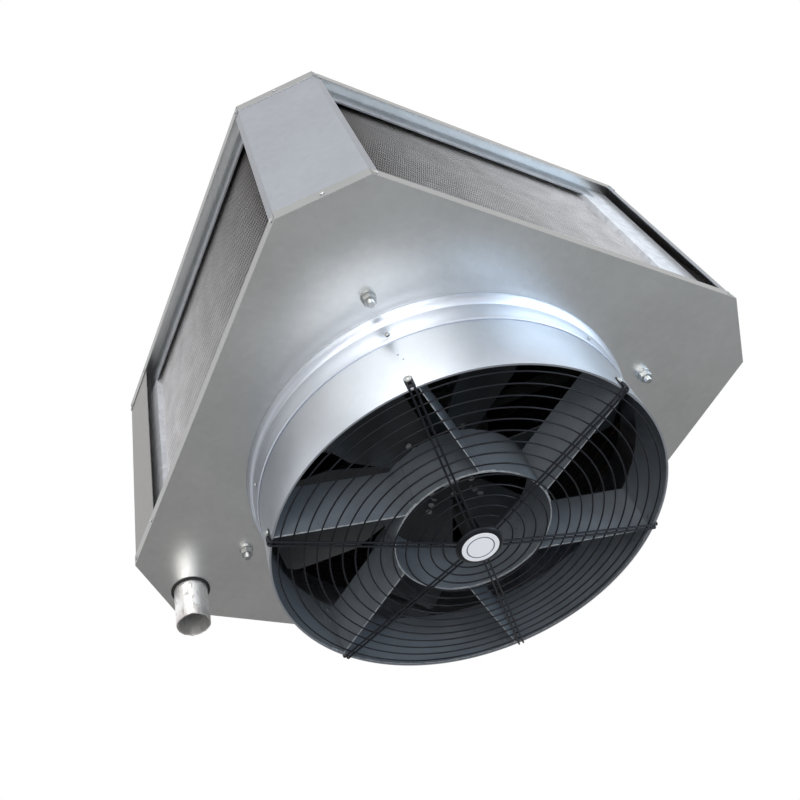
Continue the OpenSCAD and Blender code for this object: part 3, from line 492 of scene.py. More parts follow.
def dressCopy(node, look, bevel, smoothAngle=35.0):
    # a copy of a CAD node with merged corners, small rounded edges and even shading
    shape = bmesh.new()
    shape.from_mesh(nodes[node].data)
    bmesh.ops.remove_doubles(shape, verts=shape.verts, dist=copying["merge"])
    flat = math.radians(copying["flatAngle"])
    bmesh.ops.dissolve_limit(shape, angle_limit=flat, verts=shape.verts, edges=shape.edges)
    first, *rest = node.split("_")
    name = first + "".join(word.capitalize() for word in rest)
    mesh = bake(shape, name, outwards=False)
    piece = finishPiece(name, mesh, look, nodes[node]["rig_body"], [node], smoothAngle)
    if bevel:
        rounding = piece.modifiers.new("rounding", "BEVEL")
        rounding.width = bevel
        rounding.segments = copying["segments"]
        rounding.limit_method = "ANGLE"
        rounding.angle_limit = math.radians(smoothAngle)
        rounding.harden_normals = False


def wear(node, look):
    # a CAD node that stays as it is gets its better material
    mesh = nodes[node].data
    mesh.materials.clear()
    mesh.materials.append(materials[look])
    for polygon in mesh.polygons:
        polygon.material_index = 0


# small helpers for geometry nodes
def runTree(tree, values, name, start=None):
    # a carrier object gets the tree and its inputs, and the result becomes a plain mesh
    data = start or bpy.data.meshes.new(name + "Start")
    carrier = bpy.data.objects.new(name + "Carrier", data)
    modifier = carrier.modifiers.new("tree", "NODES")
    modifier.node_group = tree
    for item in tree.interface.items_tree:
        if item.in_out == "INPUT" and item.name in values:
            modifier[item.identifier] = values[item.name]
    collection.objects.link(carrier)
    bpy.context.view_layer.update()
    graph = bpy.context.evaluated_depsgraph_get()
    mesh = bpy.data.meshes.new_from_object(carrier.evaluated_get(graph))
    mesh.name = name
    carrier.modifiers.clear()
    bpy.data.objects.remove(carrier)
    return mesh


def polyCurve(name, points):
    data = bpy.data.curves.new(name, "CURVE")
    data.dimensions = "3D"
    spline = data.splines.new("POLY")
    spline.points.add(len(points) - 1)
    for point, value in zip(spline.points, points):
        point.co = (*value, 1.0)
    holder = bpy.data.objects.new(name, data)
    collection.objects.link(holder)
    return holder


def pointMesh(name, places):
    # points with the way that each thing on them looks
    mesh = bpy.data.meshes.new(name)
    mesh.from_pydata([tuple(place[0]) for place in places], [], [])
    mesh.attributes.new("aim", "FLOAT_VECTOR", "POINT")
    mesh.attributes.new("turn", "FLOAT", "POINT")
    for i, (_, way, angle) in enumerate(places):
        mesh.attributes["aim"].data[i].vector = way
        mesh.attributes["turn"].data[i].value = angle
    return mesh


def namedInput(tree, name, kind):
    return put(tree, "GeometryNodeInputNamedAttribute", {"Name": name}, data_type=kind).outputs["Attribute"]


def spread(tree, points, instance, **how):
    # one instance on every point
    values = {"Points": points, "Instance": instance, **how}
    return put(tree, "GeometryNodeInstanceOnPoints", values).outputs[0]


def pointRow(tree, count):
    # so many points in one place
    values = {"Count": count, "Offset": (0.0, 0.0, 0.0)}
    return put(tree, "GeometryNodeMeshLine", values, mode="OFFSET").outputs[0]


def wireAlong(tree, path, thick, corners, caps=False):
    # a round wire along a path
    section = {"Resolution": corners, "Radius": times(tree, thick, 0.5)}
    ring = put(tree, "GeometryNodeCurvePrimitiveCircle", section, mode="RADIUS").outputs[0]
    values = {"Curve": path, "Profile Curve": ring, "Fill Caps": caps}
    return put(tree, "GeometryNodeCurveToMesh", values).outputs[0]


def lastSteps(tree, geometry, given, out):
    realized = put(tree, "GeometryNodeRealizeInstances", {"Geometry": geometry}).outputs[0]
    values = {"Geometry": realized, "Material": given["Material"]}
    setInputs(tree, out, {"Geometry": put(tree, "GeometryNodeSetMaterial", values).outputs[0]})
    return tree


def makeScatterTree():
    # puts one template on every point, turned to look along the point's aim
    tree, given, out = newGroup("fastenerScatter", "GeometryNodeTree",
        [("Geometry", "Geometry", None), ("Template", "Object", None), ("Material", "Material", None)],
        [("Geometry", "Geometry")])
    template = put(tree, "GeometryNodeObjectInfo", {"Object": given["Template"]}).outputs["Geometry"]
    aim = {"Vector": namedInput(tree, "aim", "FLOAT_VECTOR")}
    looking = put(tree, "FunctionNodeAlignRotationToVector", aim, axis="Z").outputs[0]
    turn = {"Rotation": looking, "Rotate By": vectorZ(tree, namedInput(tree, "turn", "FLOAT"))}
    turned = put(tree, "FunctionNodeRotateRotation", turn, rotation_space="LOCAL").outputs[0]
    return lastSteps(tree, spread(tree, given["Geometry"], template, Rotation=turned), given, out)


scatterTree = makeScatterTree()


def scatter(name, template, places, look, replaced, smoothAngle=35.0):
    holder = bpy.data.objects.new(name + "Template", template)
    collection.objects.link(holder)
    values = {"Template": holder, "Material": materials[look]}
    mesh = runTree(scatterTree, values, name, pointMesh(name + "Points", places))
    bpy.data.objects.remove(holder)
    finishPiece(name, mesh, look, "casing", [replaced], smoothAngle)


# camera first: it stands low beside the near corner and looks up at the outlet
view = dict(position=(-0.78377, -0.77326, -1.57012), lens=39.04, sensor=36.0, nearest=0.05,
    shiftX=0.0656, shiftY=-0.0239, right=(0.89482148, -0.39249683, -0.21269875),
    down=(0.20841936, 0.78863374, -0.57846192), ahead=(0.39478588, 0.47328961, 0.78749035))


def addCamera():
    data = bpy.data.cameras.new("camera")
    data.lens = view["lens"]
    data.sensor_width = view["sensor"]
    data.shift_x = view["shiftX"]
    data.shift_y = view["shiftY"]
    data.clip_start = view["nearest"]
    camera = bpy.data.objects.new("camera", data)
    collection.objects.link(camera)
    right, down, ahead = Vector(view["right"]), Vector(view["down"]), Vector(view["ahead"])
    turned = Matrix((right, -down, -ahead)).transposed()
    camera.matrix_world = Matrix.Translation(view["position"]) @ turned.to_4x4()
    scene.camera = camera


addCamera()
print("camera placed")


# casing, vanes, motor and impeller keep their CAD shape; a look and the width of the rounded edges
dressed = {
    "bottom_plate": ("casingZinc", 0.0006), "top_plate": ("casingZinc", 0.0006),
    "corner_panel_1": ("panelSteel", 0.0010), "corner_panel_2": ("panelSteel", 0.0006),
    "corner_panel_3": ("panelSteel", 0.0006), "header_cover": ("coverSteel", 0.0006),
    "top_channel_1": ("channelZinc", 0.0), "top_channel_2": ("channelZinc", 0.0),
    "bottom_channel_1": ("channelZinc", 0.0), "bottom_channel_2": ("channelZinc", 0.0),
    "end_plates_1": ("endPlateZinc", 0.0), "end_plates_2": ("endPlateZinc", 0.0),
    "vane_drum": ("vanePaint", 0.0004), "vane_sleeve": ("vanePaint", 0.0003),
    "nuts": ("zincFastener", 0.0003), "washers": ("zincFastener", 0.0002),
    "motor_body": ("motorPaint", 0.0004), "motor_flange": ("motorPaint", 0.0008),
    "motor_cowl": ("motorPaint", 0.0), "terminal_box": ("motorPaint", 0.0015),
    "cable_gland": ("blackPlastic", 0.0003), "motor_spider": ("hubPaint", 0.0005),
    "motor_bolts": ("zincFastener", 0.0003), "impeller_hub": ("hubPaint", 0.0006),
    "blade_bolts": ("zincFastener", 0.0002),
}
for number in range(1, 7):
    dressed[f"guide_vane_{number}"] = ("vanePaint", 0.0003)
    dressed[f"blade_{number}"] = ("bladePaint", 0.0004)
for nodeName, (lookName, bevelWidth) in dressed.items():
    dressCopy(nodeName, lookName, bevelWidth)
for nodeName, lookName in {
    "motor_shaft": "machinedSteel", "motor_fan": "blackPlastic", "motor_bearings": "machinedSteel",
    "coil_tubes_1": "copperTube", "coil_tubes_2": "copperTube", "crossover_bends": "copperTube",
    "supply_header": "pipeSteel", "condensate_header": "pipeSteel", "pipe_grommets": "grommetRubber",
}.items():
    wear(nodeName, lookName)
print("casing, vanes and impeller dressed")


# drawn neck, turned from its profile, in millimetres
neck = dict(rootRadius=345.0, roll=24.0, rollAngle=50.0, rollZ=-2.0, flange=10.0, seat=1.6, inner=331.8,
    sheet=1.5, low=-58.0, creaseOut=1.2, creaseDrop=2.0, footOut=1.5, footRise=6.0, footHeight=2.4,
    bulge=0.9, rollSteps=14, innerSteps=6, bandSteps=12, steps=256, merge=0.0000005)


def neckProfile():
    centerR, roll = neck["rootRadius"] - neck["roll"], neck["roll"]
    angle, sheet = math.radians(neck["rollAngle"]), neck["sheet"]
    inside, low = neck["inner"], neck["low"]
    outside, rim = inside + sheet, neck["rootRadius"] + neck["flange"]

    def rollPoint(radius, step, steps):
        turn = angle * step / steps
        return (centerR + radius * math.cos(turn), neck["rollZ"] - radius * math.sin(turn))

    rollEnd = rollPoint(roll, 1, 1)
    top = (rollEnd[0] + neck["creaseOut"], rollEnd[1] - neck["creaseDrop"])
    foot = (outside + neck["footOut"], low + neck["footRise"])
    outer = [(rim, neck["seat"]), (neck["rootRadius"], neck["seat"])]
    outer += [rollPoint(roll, k, neck["rollSteps"]) for k in range(neck["rollSteps"] + 1)]
    outer += [top]
    for k in range(1, neck["bandSteps"]):  # the band bulges a little between its two creases
        f = k / neck["bandSteps"]
        r, z = (start + (end - start) * f for start, end in zip(top, foot))
        outer.append((r + neck["bulge"] * math.sin(math.pi * f), z))
    outer += [foot, (foot[0], foot[1] - neck["footHeight"])]
    outer += [(outside + 1.1, low + 1.6), (outside, low), (inside, low)]
    inner = [(inside, foot[1] - 2.0), (foot[0] - sheet, foot[1] + 1.0), (top[0] - sheet, top[1])]
    inner += [rollPoint(roll - sheet, k, neck["innerSteps"]) for k in range(neck["innerSteps"], -1, -1)]
    inner += [(neck["rootRadius"] - sheet, neck["seat"] + sheet), (rim, neck["seat"] + sheet)]
    return [(r / 1000, z / 1000 - hangHeight) for r, z in outer + inner]


def makeNeck():
    shape = bmesh.new()
    profile = neckProfile()
    turns = []
    for step in range(neck["steps"]):
        a = 2 * math.pi * step / neck["steps"]
        turns.append([shape.verts.new((r * math.cos(a), r * math.sin(a), z)) for r, z in profile])
    closeTurn(shape, turns)
    bmesh.ops.remove_doubles(shape, verts=shape.verts, dist=neck["merge"])
    finishPiece("neckRing", bake(shape, "neckRing"), "neckSteel", "casing", ["neck_ring"], 28.0)


makeNeck()
dressCopy("outlet_collar", "collarSteel", 0.0, 40.0)
print("neck and collar made")


# wire guard: rings and double spokes, in metres; heights are from the bottom plate
guard = dict(ringCount=14, firstRing=0.058, ringStep=0.020, ringWire=0.0026, ringSegments=176,
    slope=0.06934, centerZ=-0.19985, spokeCount=6, firstSpoke=45.5, spokeWire=0.0035, spokeGap=0.008,
    wireStart=0.026, bend=0.0035, bendSteps=8, loopSteps=12, tabX=0.33185, tabThick=0.0015,
    tabWidth=0.013, tabZ=-0.154, loopZ=-0.167, tabBelow=0.005, tabAbove=0.007, tabSteps=10, air=0.00005)


def makeRingTree():
    tree, given, out = newGroup("guardRings", "GeometryNodeTree",
        [("Geometry", "Geometry", None), ("Count", "Int", 14), ("First Radius", "Float", 0.058),
         ("Step", "Float", 0.02), ("Center Height", "Float", 0.0), ("Slope", "Float", 0.07),
         ("Wire", "Float", 0.0026), ("Segments", "Int", 160), ("Material", "Material", None)],
        [("Geometry", "Geometry")])
    index = put(tree, "GeometryNodeInputIndex").outputs[0]
    radius = plus(tree, given["First Radius"], times(tree, index, given["Step"]))
    height = plus(tree, given["Center Height"], times(tree, radius, given["Slope"]))
    lift = {"Geometry": pointRow(tree, given["Count"]), "Position": vectorZ(tree, height)}
    lifted = put(tree, "GeometryNodeSetPosition", lift).outputs[0]
    ring = {"Resolution": given["Segments"], "Radius": 1.0}
    ring = put(tree, "GeometryNodeCurvePrimitiveCircle", ring, mode="RADIUS").outputs[0]
    loops = {"Geometry": spread(tree, lifted, ring, Scale=radius)}
    loops = put(tree, "GeometryNodeRealizeInstances", loops).outputs[0]
    return lastSteps(tree, wireAlong(tree, loops, given["Wire"], 8), given, out)


def makeSpokeTree():
    # one bent wire, doubled across its gap and turned round the axis
    tree, given, out = newGroup("guardSpokes", "GeometryNodeTree",
        [("Geometry", "Geometry", None), ("Path", "Object", None), ("Count", "Int", 6),
         ("First Angle", "Float", 0.0), ("Wire", "Float", 0.0035), ("Material", "Material", None)],
        [("Geometry", "Geometry")])
    path = put(tree, "GeometryNodeObjectInfo", {"Object": given["Path"]}).outputs["Geometry"]
    wire = wireAlong(tree, path, given["Wire"], 10, True)
    index = put(tree, "GeometryNodeInputIndex").outputs[0]
    step = sums(tree, "DIVIDE", 2 * math.pi, given["Count"])
    angle = plus(tree, given["First Angle"], times(tree, index, step))
    turn = put(tree, "FunctionNodeEulerToRotation", {0: vectorZ(tree, angle)}).outputs[0]
    spokes = spread(tree, pointRow(tree, given["Count"]), wire, Rotation=turn)
    return lastSteps(tree, spokes, given, out)


def guardPoint(radius):
    return radius, guard["centerZ"] + guard["slope"] * radius


def makeSpokePath():
    # hairpin: in along the cone on one side, round the tab loop, and back on the other side
    half, bend = guard["spokeGap"] / 2, guard["bend"]
    outX = guard["tabX"] + guard["tabThick"] + guard["spokeWire"] / 2 + guard["air"]
    cornerX = outX - bend
    tilt = math.atan(guard["slope"])
    leaveX = cornerX + bend * math.sin(tilt)
    centerZ = guardPoint(leaveX)[1] + bend * math.cos(tilt)
    side = [guardPoint(guard["wireStart"]), guardPoint(leaveX - 0.02)]
    for k in range(guard["bendSteps"] + 1):
        a = -math.pi / 2 + tilt + (math.pi / 2 - tilt) * k / guard["bendSteps"]
        side.append((cornerX + bend * math.cos(a), centerZ + bend * math.sin(a)))
    points = [(x, -half, z) for x, z in side]
    for k in range(guard["loopSteps"] + 1):
        a = math.pi * k / guard["loopSteps"]
        points.append((outX, -half * math.cos(a), guard["loopZ"] + half * math.sin(a)))
    points += [(x, half, z) for x, z in reversed(side)]
    return polyCurve("spokePath", [(x, y, z - hangHeight) for x, y, z in points])


def tabMesh():
    # small plate with a round top that the spoke is welded to
    shape = bmesh.new()
    w, low = guard["tabWidth"] / 2, guard["loopZ"] - guard["tabBelow"]
    high = guard["tabZ"] + guard["tabAbove"]
    outline = [(-w, low), (w, low)]
    for k in range(guard["tabSteps"] + 1):
        a = math.pi * k / guard["tabSteps"]
        outline.append((w * math.cos(a), high - w + w * math.sin(a)))
    back = [shape.verts.new((0.0, y, z)) for y, z in outline]
    front = [shape.verts.new((guard["tabThick"], y, z)) for y, z in outline]
    shape.faces.new(list(reversed(back)))
    shape.faces.new(front)
    bridge(shape, [back, front], len(outline))
    return bake(shape, "tab")


def around(count, first, radius, height):
    # places on a circle: position, outward direction, turn
    found = []
    for k in range(count):
        a = math.radians(first + 360 * k / count)
        position = Vector((radius * math.cos(a), radius * math.sin(a), height - hangHeight))
        found.append((position, Vector((math.cos(a), math.sin(a), 0.0)), a))
    return found


def makeRings():
    # the rings lie on the spokes
    lift = (guard["spokeWire"] + guard["ringWire"]) / 2 + 0.00003
    mesh = runTree(makeRingTree(), {"Count": guard["ringCount"], "First Radius": guard["firstRing"],
        "Step": guard["ringStep"], "Center Height": guard["centerZ"] + lift - hangHeight,
        "Slope": guard["slope"], "Wire": guard["ringWire"], "Segments": guard["ringSegments"],
        "Material": materials["guardBlack"]}, "guardRings")
    finishPiece("guardRings", mesh, "guardBlack", "casing", ["guard_rings"], 60.0)


def makeSpokes():
    path = makeSpokePath()
    mesh = runTree(makeSpokeTree(), {"Path": path, "Count": guard["spokeCount"],
        "First Angle": math.radians(guard["firstSpoke"]), "Wire": guard["spokeWire"],
        "Material": materials["guardBlack"]}, "guardSpokes")
    bpy.data.objects.remove(path)
    joined = bmesh.new()
    joined.from_mesh(mesh)
    tab = tabMesh()
    for position, _, angle in around(guard["spokeCount"], guard["firstSpoke"], guard["tabX"], 0.0):
        copied = tab.copy()
        copied.transform(Matrix.Translation(position) @ Matrix.Rotation(angle, 4, "Z"))
        joined.from_mesh(copied)
    joined.to_mesh(mesh)
    joined.free()
    finishPiece("guardSpokes", mesh, "guardBlack", "casing", ["guard_spokes"], 50.0)


makeRings()
makeSpokes()
dressCopy("guard_dish", "guardBlack", 0.0004)
dressCopy("guard_disc", "discWhite", 0.0003)
print("wire guard bent")


# fins of the two coils: thin rippled sheets across the tubes, along each coil's bent line
# the path is in millimetres, the single fin in metres
fins = dict(front=418.0, depth=56.0, bendCenter=295.0, bendSteps=24, headerEnd=231.5, returnEnd=254.5,
    low=8.1, high=461.9, pitch=0.0040, thick=0.00028, wave=0.0127, ripple=0.0022, rows=73)


def makeFinTree():
    tree, given, out = newGroup("coilFins", "GeometryNodeTree",
        [("Geometry", "Geometry", None), ("Path", "Object", None), ("Pitch", "Float", 0.004),
         ("Depth", "Float", 0.056), ("Height", "Float", 0.45), ("Rows", "Int", 73),
         ("Wave Length", "Float", 0.0127), ("Ripple", "Float", 0.001), ("Thickness", "Float", 0.0003),
         ("Material", "Material", None)],
        [("Geometry", "Geometry")])
    size = {"Size X": given["Depth"], "Size Y": given["Height"], "Vertices X": 2,
        "Vertices Y": given["Rows"]}
    sheet = put(tree, "GeometryNodeMeshGrid", size).outputs[0]
    y = axisOf(tree, put(tree, "GeometryNodeInputPosition").outputs[0], "Y")
    halfWave = times(tree, given["Wave Length"], 0.5)
    shifted = plus(tree, y, times(tree, given["Height"], 0.5))
    folded = sums(tree, "DIVIDE", sums(tree, "PINGPONG", shifted, halfWave), halfWave)
    ripple = {"Geometry": sheet, "Offset": vectorZ(tree, swing(tree, folded, given["Ripple"]))}
    rippled = put(tree, "GeometryNodeSetPosition", ripple).outputs[0]
    thicken = {"Mesh": rippled, "Offset": (0.0, 0.0, 1.0), "Offset Scale": given["Thickness"],
        "Individual": False}
    raised = put(tree, "GeometryNodeExtrudeMesh", thicken, mode="FACES").outputs[0]
    under = put(tree, "GeometryNodeFlipFaces", {"Mesh": rippled}).outputs[0]
    both = tree.nodes.new("GeometryNodeJoinGeometry")
    tree.links.new(raised, both.inputs[0])
    tree.links.new(under, both.inputs[0])
    merge = {"Geometry": both.outputs[0], "Distance": 0.00001}
    fin = put(tree, "GeometryNodeMergeByDistance", merge).outputs[0]
    stand = {"Geometry": fin, "Rotation": (math.pi / 2, 0.0, 0.0)}
    upright = put(tree, "GeometryNodeTransform", stand).outputs[0]
    path = put(tree, "GeometryNodeObjectInfo", {"Object": given["Path"]}).outputs["Geometry"]
    every = {"Curve": path, "Length": given["Pitch"]}
    spots = put(tree, "GeometryNodeCurveToPoints", every, mode="LENGTH").outputs
    across = put(tree, "FunctionNodeAlignRotationToVector", {"Vector": spots["Tangent"]}, axis="Y",
        pivot_axis="Z").outputs[0]
    return lastSteps(tree, spread(tree, spots["Points"], upright, Rotation=across), given, out)


def coilPath(name, swapped):
    # one straight side, the bend round the corner and the other side
    middle, center = fins["front"] - fins["depth"] / 2, fins["bendCenter"]
    radius = middle - center
    points = [(-middle, fins["headerEnd"]), (-middle, -center)]
    for k in range(1, fins["bendSteps"]):
        a = math.pi / 2 * k / fins["bendSteps"]
        points.append((-center - radius * math.cos(a), -center - radius * math.sin(a)))
    points += [(-center, -middle), (fins["returnEnd"], -middle)]
    if swapped:
        points = [(-y, -x) for x, y in points]
    height = (fins["low"] + fins["high"]) / 2
    return polyCurve(name, [place(x, y, height) for x, y in points])


finTree = makeFinTree()
for number, swapped in ((1, False), (2, True)):
    path = coilPath(f"coilPath{number}", swapped)
    mesh = runTree(finTree, {"Path": path, "Pitch": fins["pitch"], "Depth": fins["depth"] / 1000,
        "Height": (fins["high"] - fins["low"]) / 1000, "Rows": fins["rows"], "Wave Length": fins["wave"],
        "Ripple": fins["ripple"], "Thickness": fins["thick"], "Material": materials["finAluminium"]},
        f"finPack{number}")
    bpy.data.objects.remove(path)
    finishPiece(f"finPack{number}", mesh, "finAluminium", "casing", [f"fin_pack_{number}"], 12.0)
    print("coil", number, "fins:", len(mesh.polygons), "faces")


# screws with a crossed recess, in millimetres
screw = dict(headRadius=3.6, headHeight=1.9, recess=1.9, recessWidth=0.55, recessDepth=1.0, dome=0.93,
    rings=8, steps=32, washerThick=1.0, washerEdge=0.3, seed=7)
guardScrew = dict(headRadius=4.0, headHeight=2.4, washerRadius=5.5)
neckScrews = dict(count=6, radius=0.3376, height=-0.044)  # on the band of the neck, in metres


def screwMesh(headRadius, headHeight, washerRadius=0.0):
    # a domed head, on a washer where its radius is given
    shape = bmesh.new()
    steps, rings, depth = screw["steps"], screw["rings"], screw["recessDepth"]
    base = screw["washerThick"] if washerRadius else 0.0
    grid = []
    for k in range(rings + 1):
        radius = headRadius * k / rings
        rise = base + headHeight * math.sqrt(max(0.0, 1 - (screw["dome"] * k / rings) ** 2))
        ring = []
        for x, y, z in circle(radius, rise, steps if k else 1):
            inCross = radius < screw["recess"] and min(abs(x), abs(y)) < screw["recessWidth"]
            ring.append((x, y, z - depth if inCross else z))
        grid.append(addRing(shape, ring))
    grid.append([shape.verts.new((v.co.x, v.co.y, base / 1000)) for v in grid[-1]])
    if washerRadius:
        edge = screw["washerEdge"]
        for radius, height in ((washerRadius - edge, base), (washerRadius, base - edge), (washerRadius, 0.0)):
            grid.append(addRing(shape, circle(radius, height, steps)))
    bridge(shape, grid, steps)
    shape.faces.new(list(reversed(grid[-1])))
    return bake(shape, "screw")


# the casing as its screws need it, in millimetres; out and tiltedOut keep the heads on the sheet
casing = dict(half=450.0, flatEnd=345.0, height=470.0, lipMiddle=11.0, flange=15.0, coverFlange=108.0,
    out=0.1, tiltedOut=0.07)


def panelScrewPlaces():
    found = []
    half, flat, side = casing["half"], casing["flatEnd"], casing["half"] + casing["out"]
    slant = -(half + flat) / 2 - casing["tiltedOut"]
    for number, quarter in enumerate((0, 90, 180, 270)):
        steps = [casing["flange"] / 2]
        if number == 3:
            steps.append(casing["coverFlange"] - casing["flange"] / 2)
        turn = Matrix.Rotation(math.radians(quarter), 3, "Z")
        for z in (casing["lipMiddle"], casing["height"] - casing["lipMiddle"]):
            spots = [((-flat + s, -side), (0, -1, 0)) for s in steps]
            spots += [((-side, -flat + s), (-1, 0, 0)) for s in steps]
            spots.append(((slant, slant), (-0.7071, -0.7071, 0)))
            for (x, y), way in spots:
                position = turn @ Vector((x, y, 0)) / 1000 + Vector((0, 0, z / 1000 - hangHeight))
                found.append((position, turn @ Vector(way), random.uniform(0, 3.1)))
    return found


random.seed(screw["seed"])
plainScrew = screwMesh(screw["headRadius"], screw["headHeight"])
scatter("panelScrews", plainScrew, panelScrewPlaces(), "zincFastener", "panel_screws")
bandPlaces = around(neckScrews["count"], guard["firstSpoke"], neckScrews["radius"], neckScrews["height"])
scatter("collarScrews", plainScrew, bandPlaces, "zincFastener", "collar_screws")
tabFace = guard["tabX"] + guard["tabThick"] + guard["air"]
tabPlaces = around(guard["spokeCount"], guard["firstSpoke"], tabFace, guard["tabZ"])
scatter("guardScrews", screwMesh(**guardScrew), tabPlaces, "zincFastener", "guard_screws")


# rivets through the vanes' tabs, in millimetres; the tabs' shares are where the rivets stand
vanes = dict(count=6, drumRadius=131.7, sleeveRadius=329.2, rootAngle=65.0, tipAngle=47.0, rootTab=11.5,
    rootShare=0.65, tipTab=5.0, tipShare=0.55, low=-173.0, height=101.0, thick=1.5, rivets=4, air=0.12)


def rivetPlaces():
    found = []
    onDrum = vanes["drumRadius"] + vanes["thick"] + vanes["air"]
    onSleeve = vanes["sleeveRadius"] - vanes["thick"] - vanes["air"]
    root = (vanes["rootAngle"] + vanes["rootShare"] * vanes["rootTab"], onDrum, 1)
    tip = (vanes["tipAngle"] + vanes["tipShare"] * vanes["tipTab"], onSleeve, -1)
    for k in range(vanes["count"]):
        for angle, radius, way in (root, tip):
            a = math.radians(angle + 360 / vanes["count"] * k)
            outward = Vector((way * math.cos(a), way * math.sin(a), 0))
            for i in range(vanes["rivets"]):
                z = vanes["low"] + vanes["height"] * (i + 0.5) / vanes["rivets"]
                found.append((place(radius * math.cos(a), radius * math.sin(a), z), outward, 0.0))
    return found


def rivetMesh():
    shape = bmesh.new()
    steps = 14
    rings = []
    for radius, height in ((0.0034, 0.0), (0.0033, 0.0004), (0.0028, 0.0010), (0.0018, 0.0014)):
        rings.append([shape.verts.new(point) for point in circle(radius, height, steps)])
    rings.append([shape.verts.new((0, 0, 0.0015))])
    bridge(shape, rings, steps)
    return bake(shape, "rivet")


scatter("vaneRivets", rivetMesh(), rivetPlaces(), "vanePaint", "vane_rivets", 60.0)
print("screws and rivets set")


# threaded tie rods, in millimetres from the bottom plate
rod = dict(radius=6.0, pitch=1.75, depth=0.95, low=-22.3, lowEnd=4.0, highStart=462.0, high=538.3,
    chamfer=1.5, place=270.0, steps=24)


def threadRadius(z, share):
    if rod["lowEnd"] < z < rod["highStart"]:
        return rod["radius"]
    phase = (z / rod["pitch"] - share) % 1.0
    cut = 1 - abs(2 * phase - 1)
    edge = min(1.0, (z - rod["low"]) / rod["chamfer"], (rod["high"] - z) / rod["chamfer"])
    return rod["radius"] - rod["depth"] * max(cut, 1 - max(0.0, edge))


def rodMesh():
    shape = bmesh.new()
    steps = rod["steps"]
    heights = []
    for start, end in ((rod["low"], rod["lowEnd"]), (rod["highStart"], rod["high"])):
        z = start
        while z < end:
            heights.append(z)
            z += rod["pitch"] / 4
        heights.append(end)
    rings = []
    for z in heights:
        ring = []
        for s in range(steps):
            a, r = 2 * math.pi * s / steps, threadRadius(z, s / steps) / 1000
            ring.append(shape.verts.new((r * math.cos(a), r * math.sin(a), z / 1000 - hangHeight)))
        rings.append(ring)
    bridge(shape, rings, steps)
    shape.faces.new(list(reversed(rings[0])))
    shape.faces.new(rings[-1])
    return bake(shape, "rod", outwards=False)


rodSides = (-rod["place"] / 1000, rod["place"] / 1000)
rodPlaces = [(Vector((x, y, 0)), Vector((0, 0, 1)), 0.0) for x in rodSides for y in rodSides]
scatter("tieRods", rodMesh(), rodPlaces, "zincFastener", "tie_rods", 40.0)


# pipe ends, in millimetres: the lower one was flame cut and has an uneven rim
pipe = dict(outer=30.15, wall=3.0, gap=2.2, length=79.0, casing=470.0, lower=(-335, 390), upper=(-390, 335),
    rimFrom=0.98, cutDepth=0.55, cutMiddle=1.1, ragged=(-0.35, 0.2), seed=11, steps=72)


def pipeMesh(rough):
    shape = bmesh.new()
    noise = random.Random(pipe["seed"])
    waves = [(noise.uniform(0.3, 1.0), n, noise.uniform(0, 6.28)) for n in (2, 3, 5, 9, 14)]
    outer, inner = pipe["outer"], pipe["outer"] - pipe["wall"]
    profile = [(inner, 0.0)] + [(outer, f) for f in (0.0, 0.3, 0.6, 0.85, 0.985)]
    profile += [(outer - 0.5, 1.0), (inner + 0.4, 1.0)] + [(inner, f) for f in (0.985, 0.6, 0.3)]
    turns = []
    for s in range(pipe["steps"]):
        a = 2 * math.pi * s / pipe["steps"]
        cut = sum(w * math.sin(n * a + p) for w, n, p in waves) * pipe["cutDepth"]
        turn = []
        for r, f in profile:
            z = f * (pipe["length"] - pipe["gap"])
            if rough and f > pipe["rimFrom"]:
                z -= max(0.0, cut + pipe["cutMiddle"])
                r += noise.uniform(*pipe["ragged"])
            turn.append((r * math.cos(a), r * math.sin(a), z))
        turns.append(addRing(shape, turn))
    closeTurn(shape, turns)
    return bake(shape, "pipe")


def makeStubs():
    stubs = bmesh.new()
    lower = pipeMesh(True)
    down = Matrix.Rotation(math.pi, 4, "X")
    lower.transform(Matrix.Translation(place(*pipe["lower"], -pipe["gap"])) @ down)
    upper = pipeMesh(False)
    upper.transform(Matrix.Translation(place(*pipe["upper"], pipe["casing"] + pipe["gap"])))
    stubs.from_mesh(lower)
    stubs.from_mesh(upper)
    mesh = bake(stubs, "pipeStubs", outwards=False)
    finishPiece("pipeStubs", mesh, "pipeSteel", "casing", ["pipe_stubs"], 40.0)


makeStubs()
print("rods and pipes made")


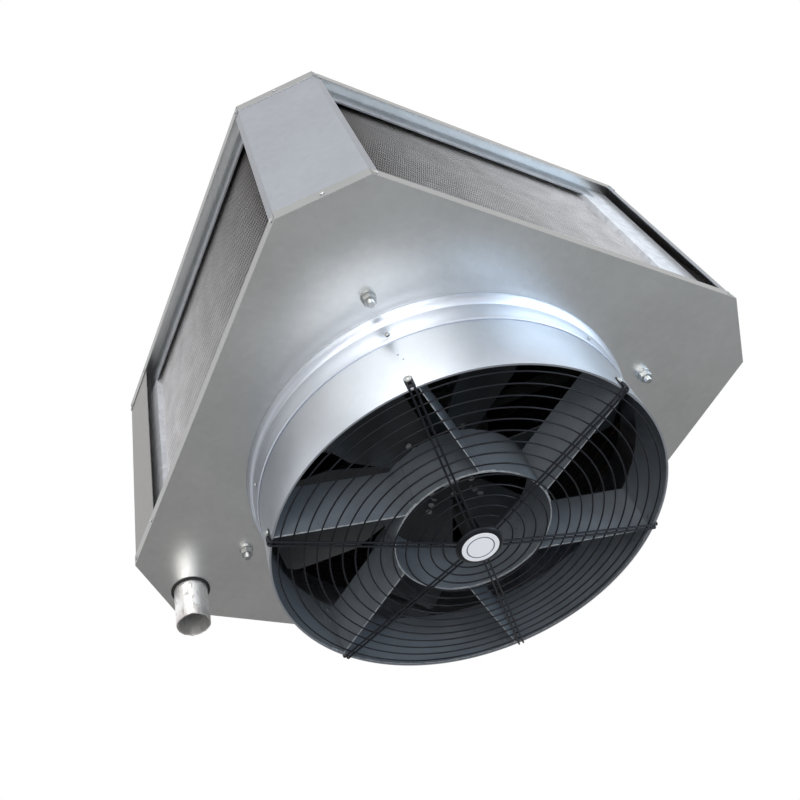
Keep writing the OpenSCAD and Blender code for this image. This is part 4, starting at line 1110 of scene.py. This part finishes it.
# studio: pale floor far below the hanging heater, soft lamps, a white surround for camera and gloss
studio = dict(floorZ=-2.60, floorSize=26.0, floorColor=(0.42, 0.415, 0.41), floorSeen=(0.78, 0.78, 0.77),
    floorRough=0.9, ambient=0.45, aim=(0, 0, -0.35))
lamps = {  # place, size, power and colour
    "keyLamp": ((-3.0, -3.4, 1.9), 2.4, 60.0, (0.93, 0.97, 1.0)),
    "frontLamp": ((-2.4, -2.9, -2.1), 1.8, 50.0, (1.0, 1.0, 1.0)),
    "lowLamp": ((-1.45, -1.35, -2.45), 3.1, 62.0, (1.0, 0.985, 0.955)),
    "leftLamp": ((-2.2, 0.3, -2.45), 1.7, 8.0, (1.0, 0.95, 0.88)),
    "farLamp": ((1.5, -1.9, -2.45), 2.4, 42.0, (0.66, 0.82, 1.0)),
    "sideLamp": ((2.3, -3.3, -1.5), 2.6, 76.0, (0.78, 0.90, 1.0)),
}


def addFloor():
    # paler to the camera than to the zinc that mirrors it
    mesh = bpy.data.meshes.new("floor")
    h, z = studio["floorSize"] / 2, studio["floorZ"]
    mesh.from_pydata([(-h, -h, z), (h, -h, z), (h, h, z), (-h, h, z)], [], [(0, 1, 2, 3)])
    floor = bpy.data.objects.new("floor", mesh)
    collection.objects.link(floor)
    material, tree, bsdf = startMaterial("floorPale")
    direct = put(tree, "ShaderNodeLightPath").outputs["Is Camera Ray"]
    color = blendColors(tree, direct, studio["floorColor"], studio["floorSeen"])
    setInputs(tree, bsdf, {"Base Color": color, "Roughness": studio["floorRough"]})
    mesh.materials.append(material)


def addLamp(name, position, size, power, tint):
    lamp = bpy.data.lights.new(name, "AREA")
    lamp.color = tint
    lamp.size = size
    lamp.energy = power
    holder = bpy.data.objects.new(name, lamp)
    holder.location = position
    holder.visible_camera = False
    way = Vector(studio["aim"]) - Vector(position)
    holder.rotation_euler = way.to_track_quat("-Z", "Y").to_euler()
    collection.objects.link(holder)


def addSurround():
    world = bpy.data.worlds.new("studio")
    scene.world = world
    world.use_nodes = True
    tree = world.node_tree
    rays = put(tree, "ShaderNodeLightPath").outputs
    seen = sums(tree, "MAXIMUM", rays["Is Glossy Ray"], rays["Is Transmission Ray"])
    seen = sums(tree, "MAXIMUM", rays["Is Camera Ray"], seen)
    strength = remap(tree, seen, 0.0, 1.0, studio["ambient"], 1.0)
    setInputs(tree, tree.nodes["Background"], {"Strength": strength, "Color": (1.0, 1.0, 1.0, 1.0)})


addFloor()
for lampName, lampValues in lamps.items():
    addLamp(lampName, *lampValues)
addSurround()
scene.view_settings.view_transform = "Standard"
print("studio lit")
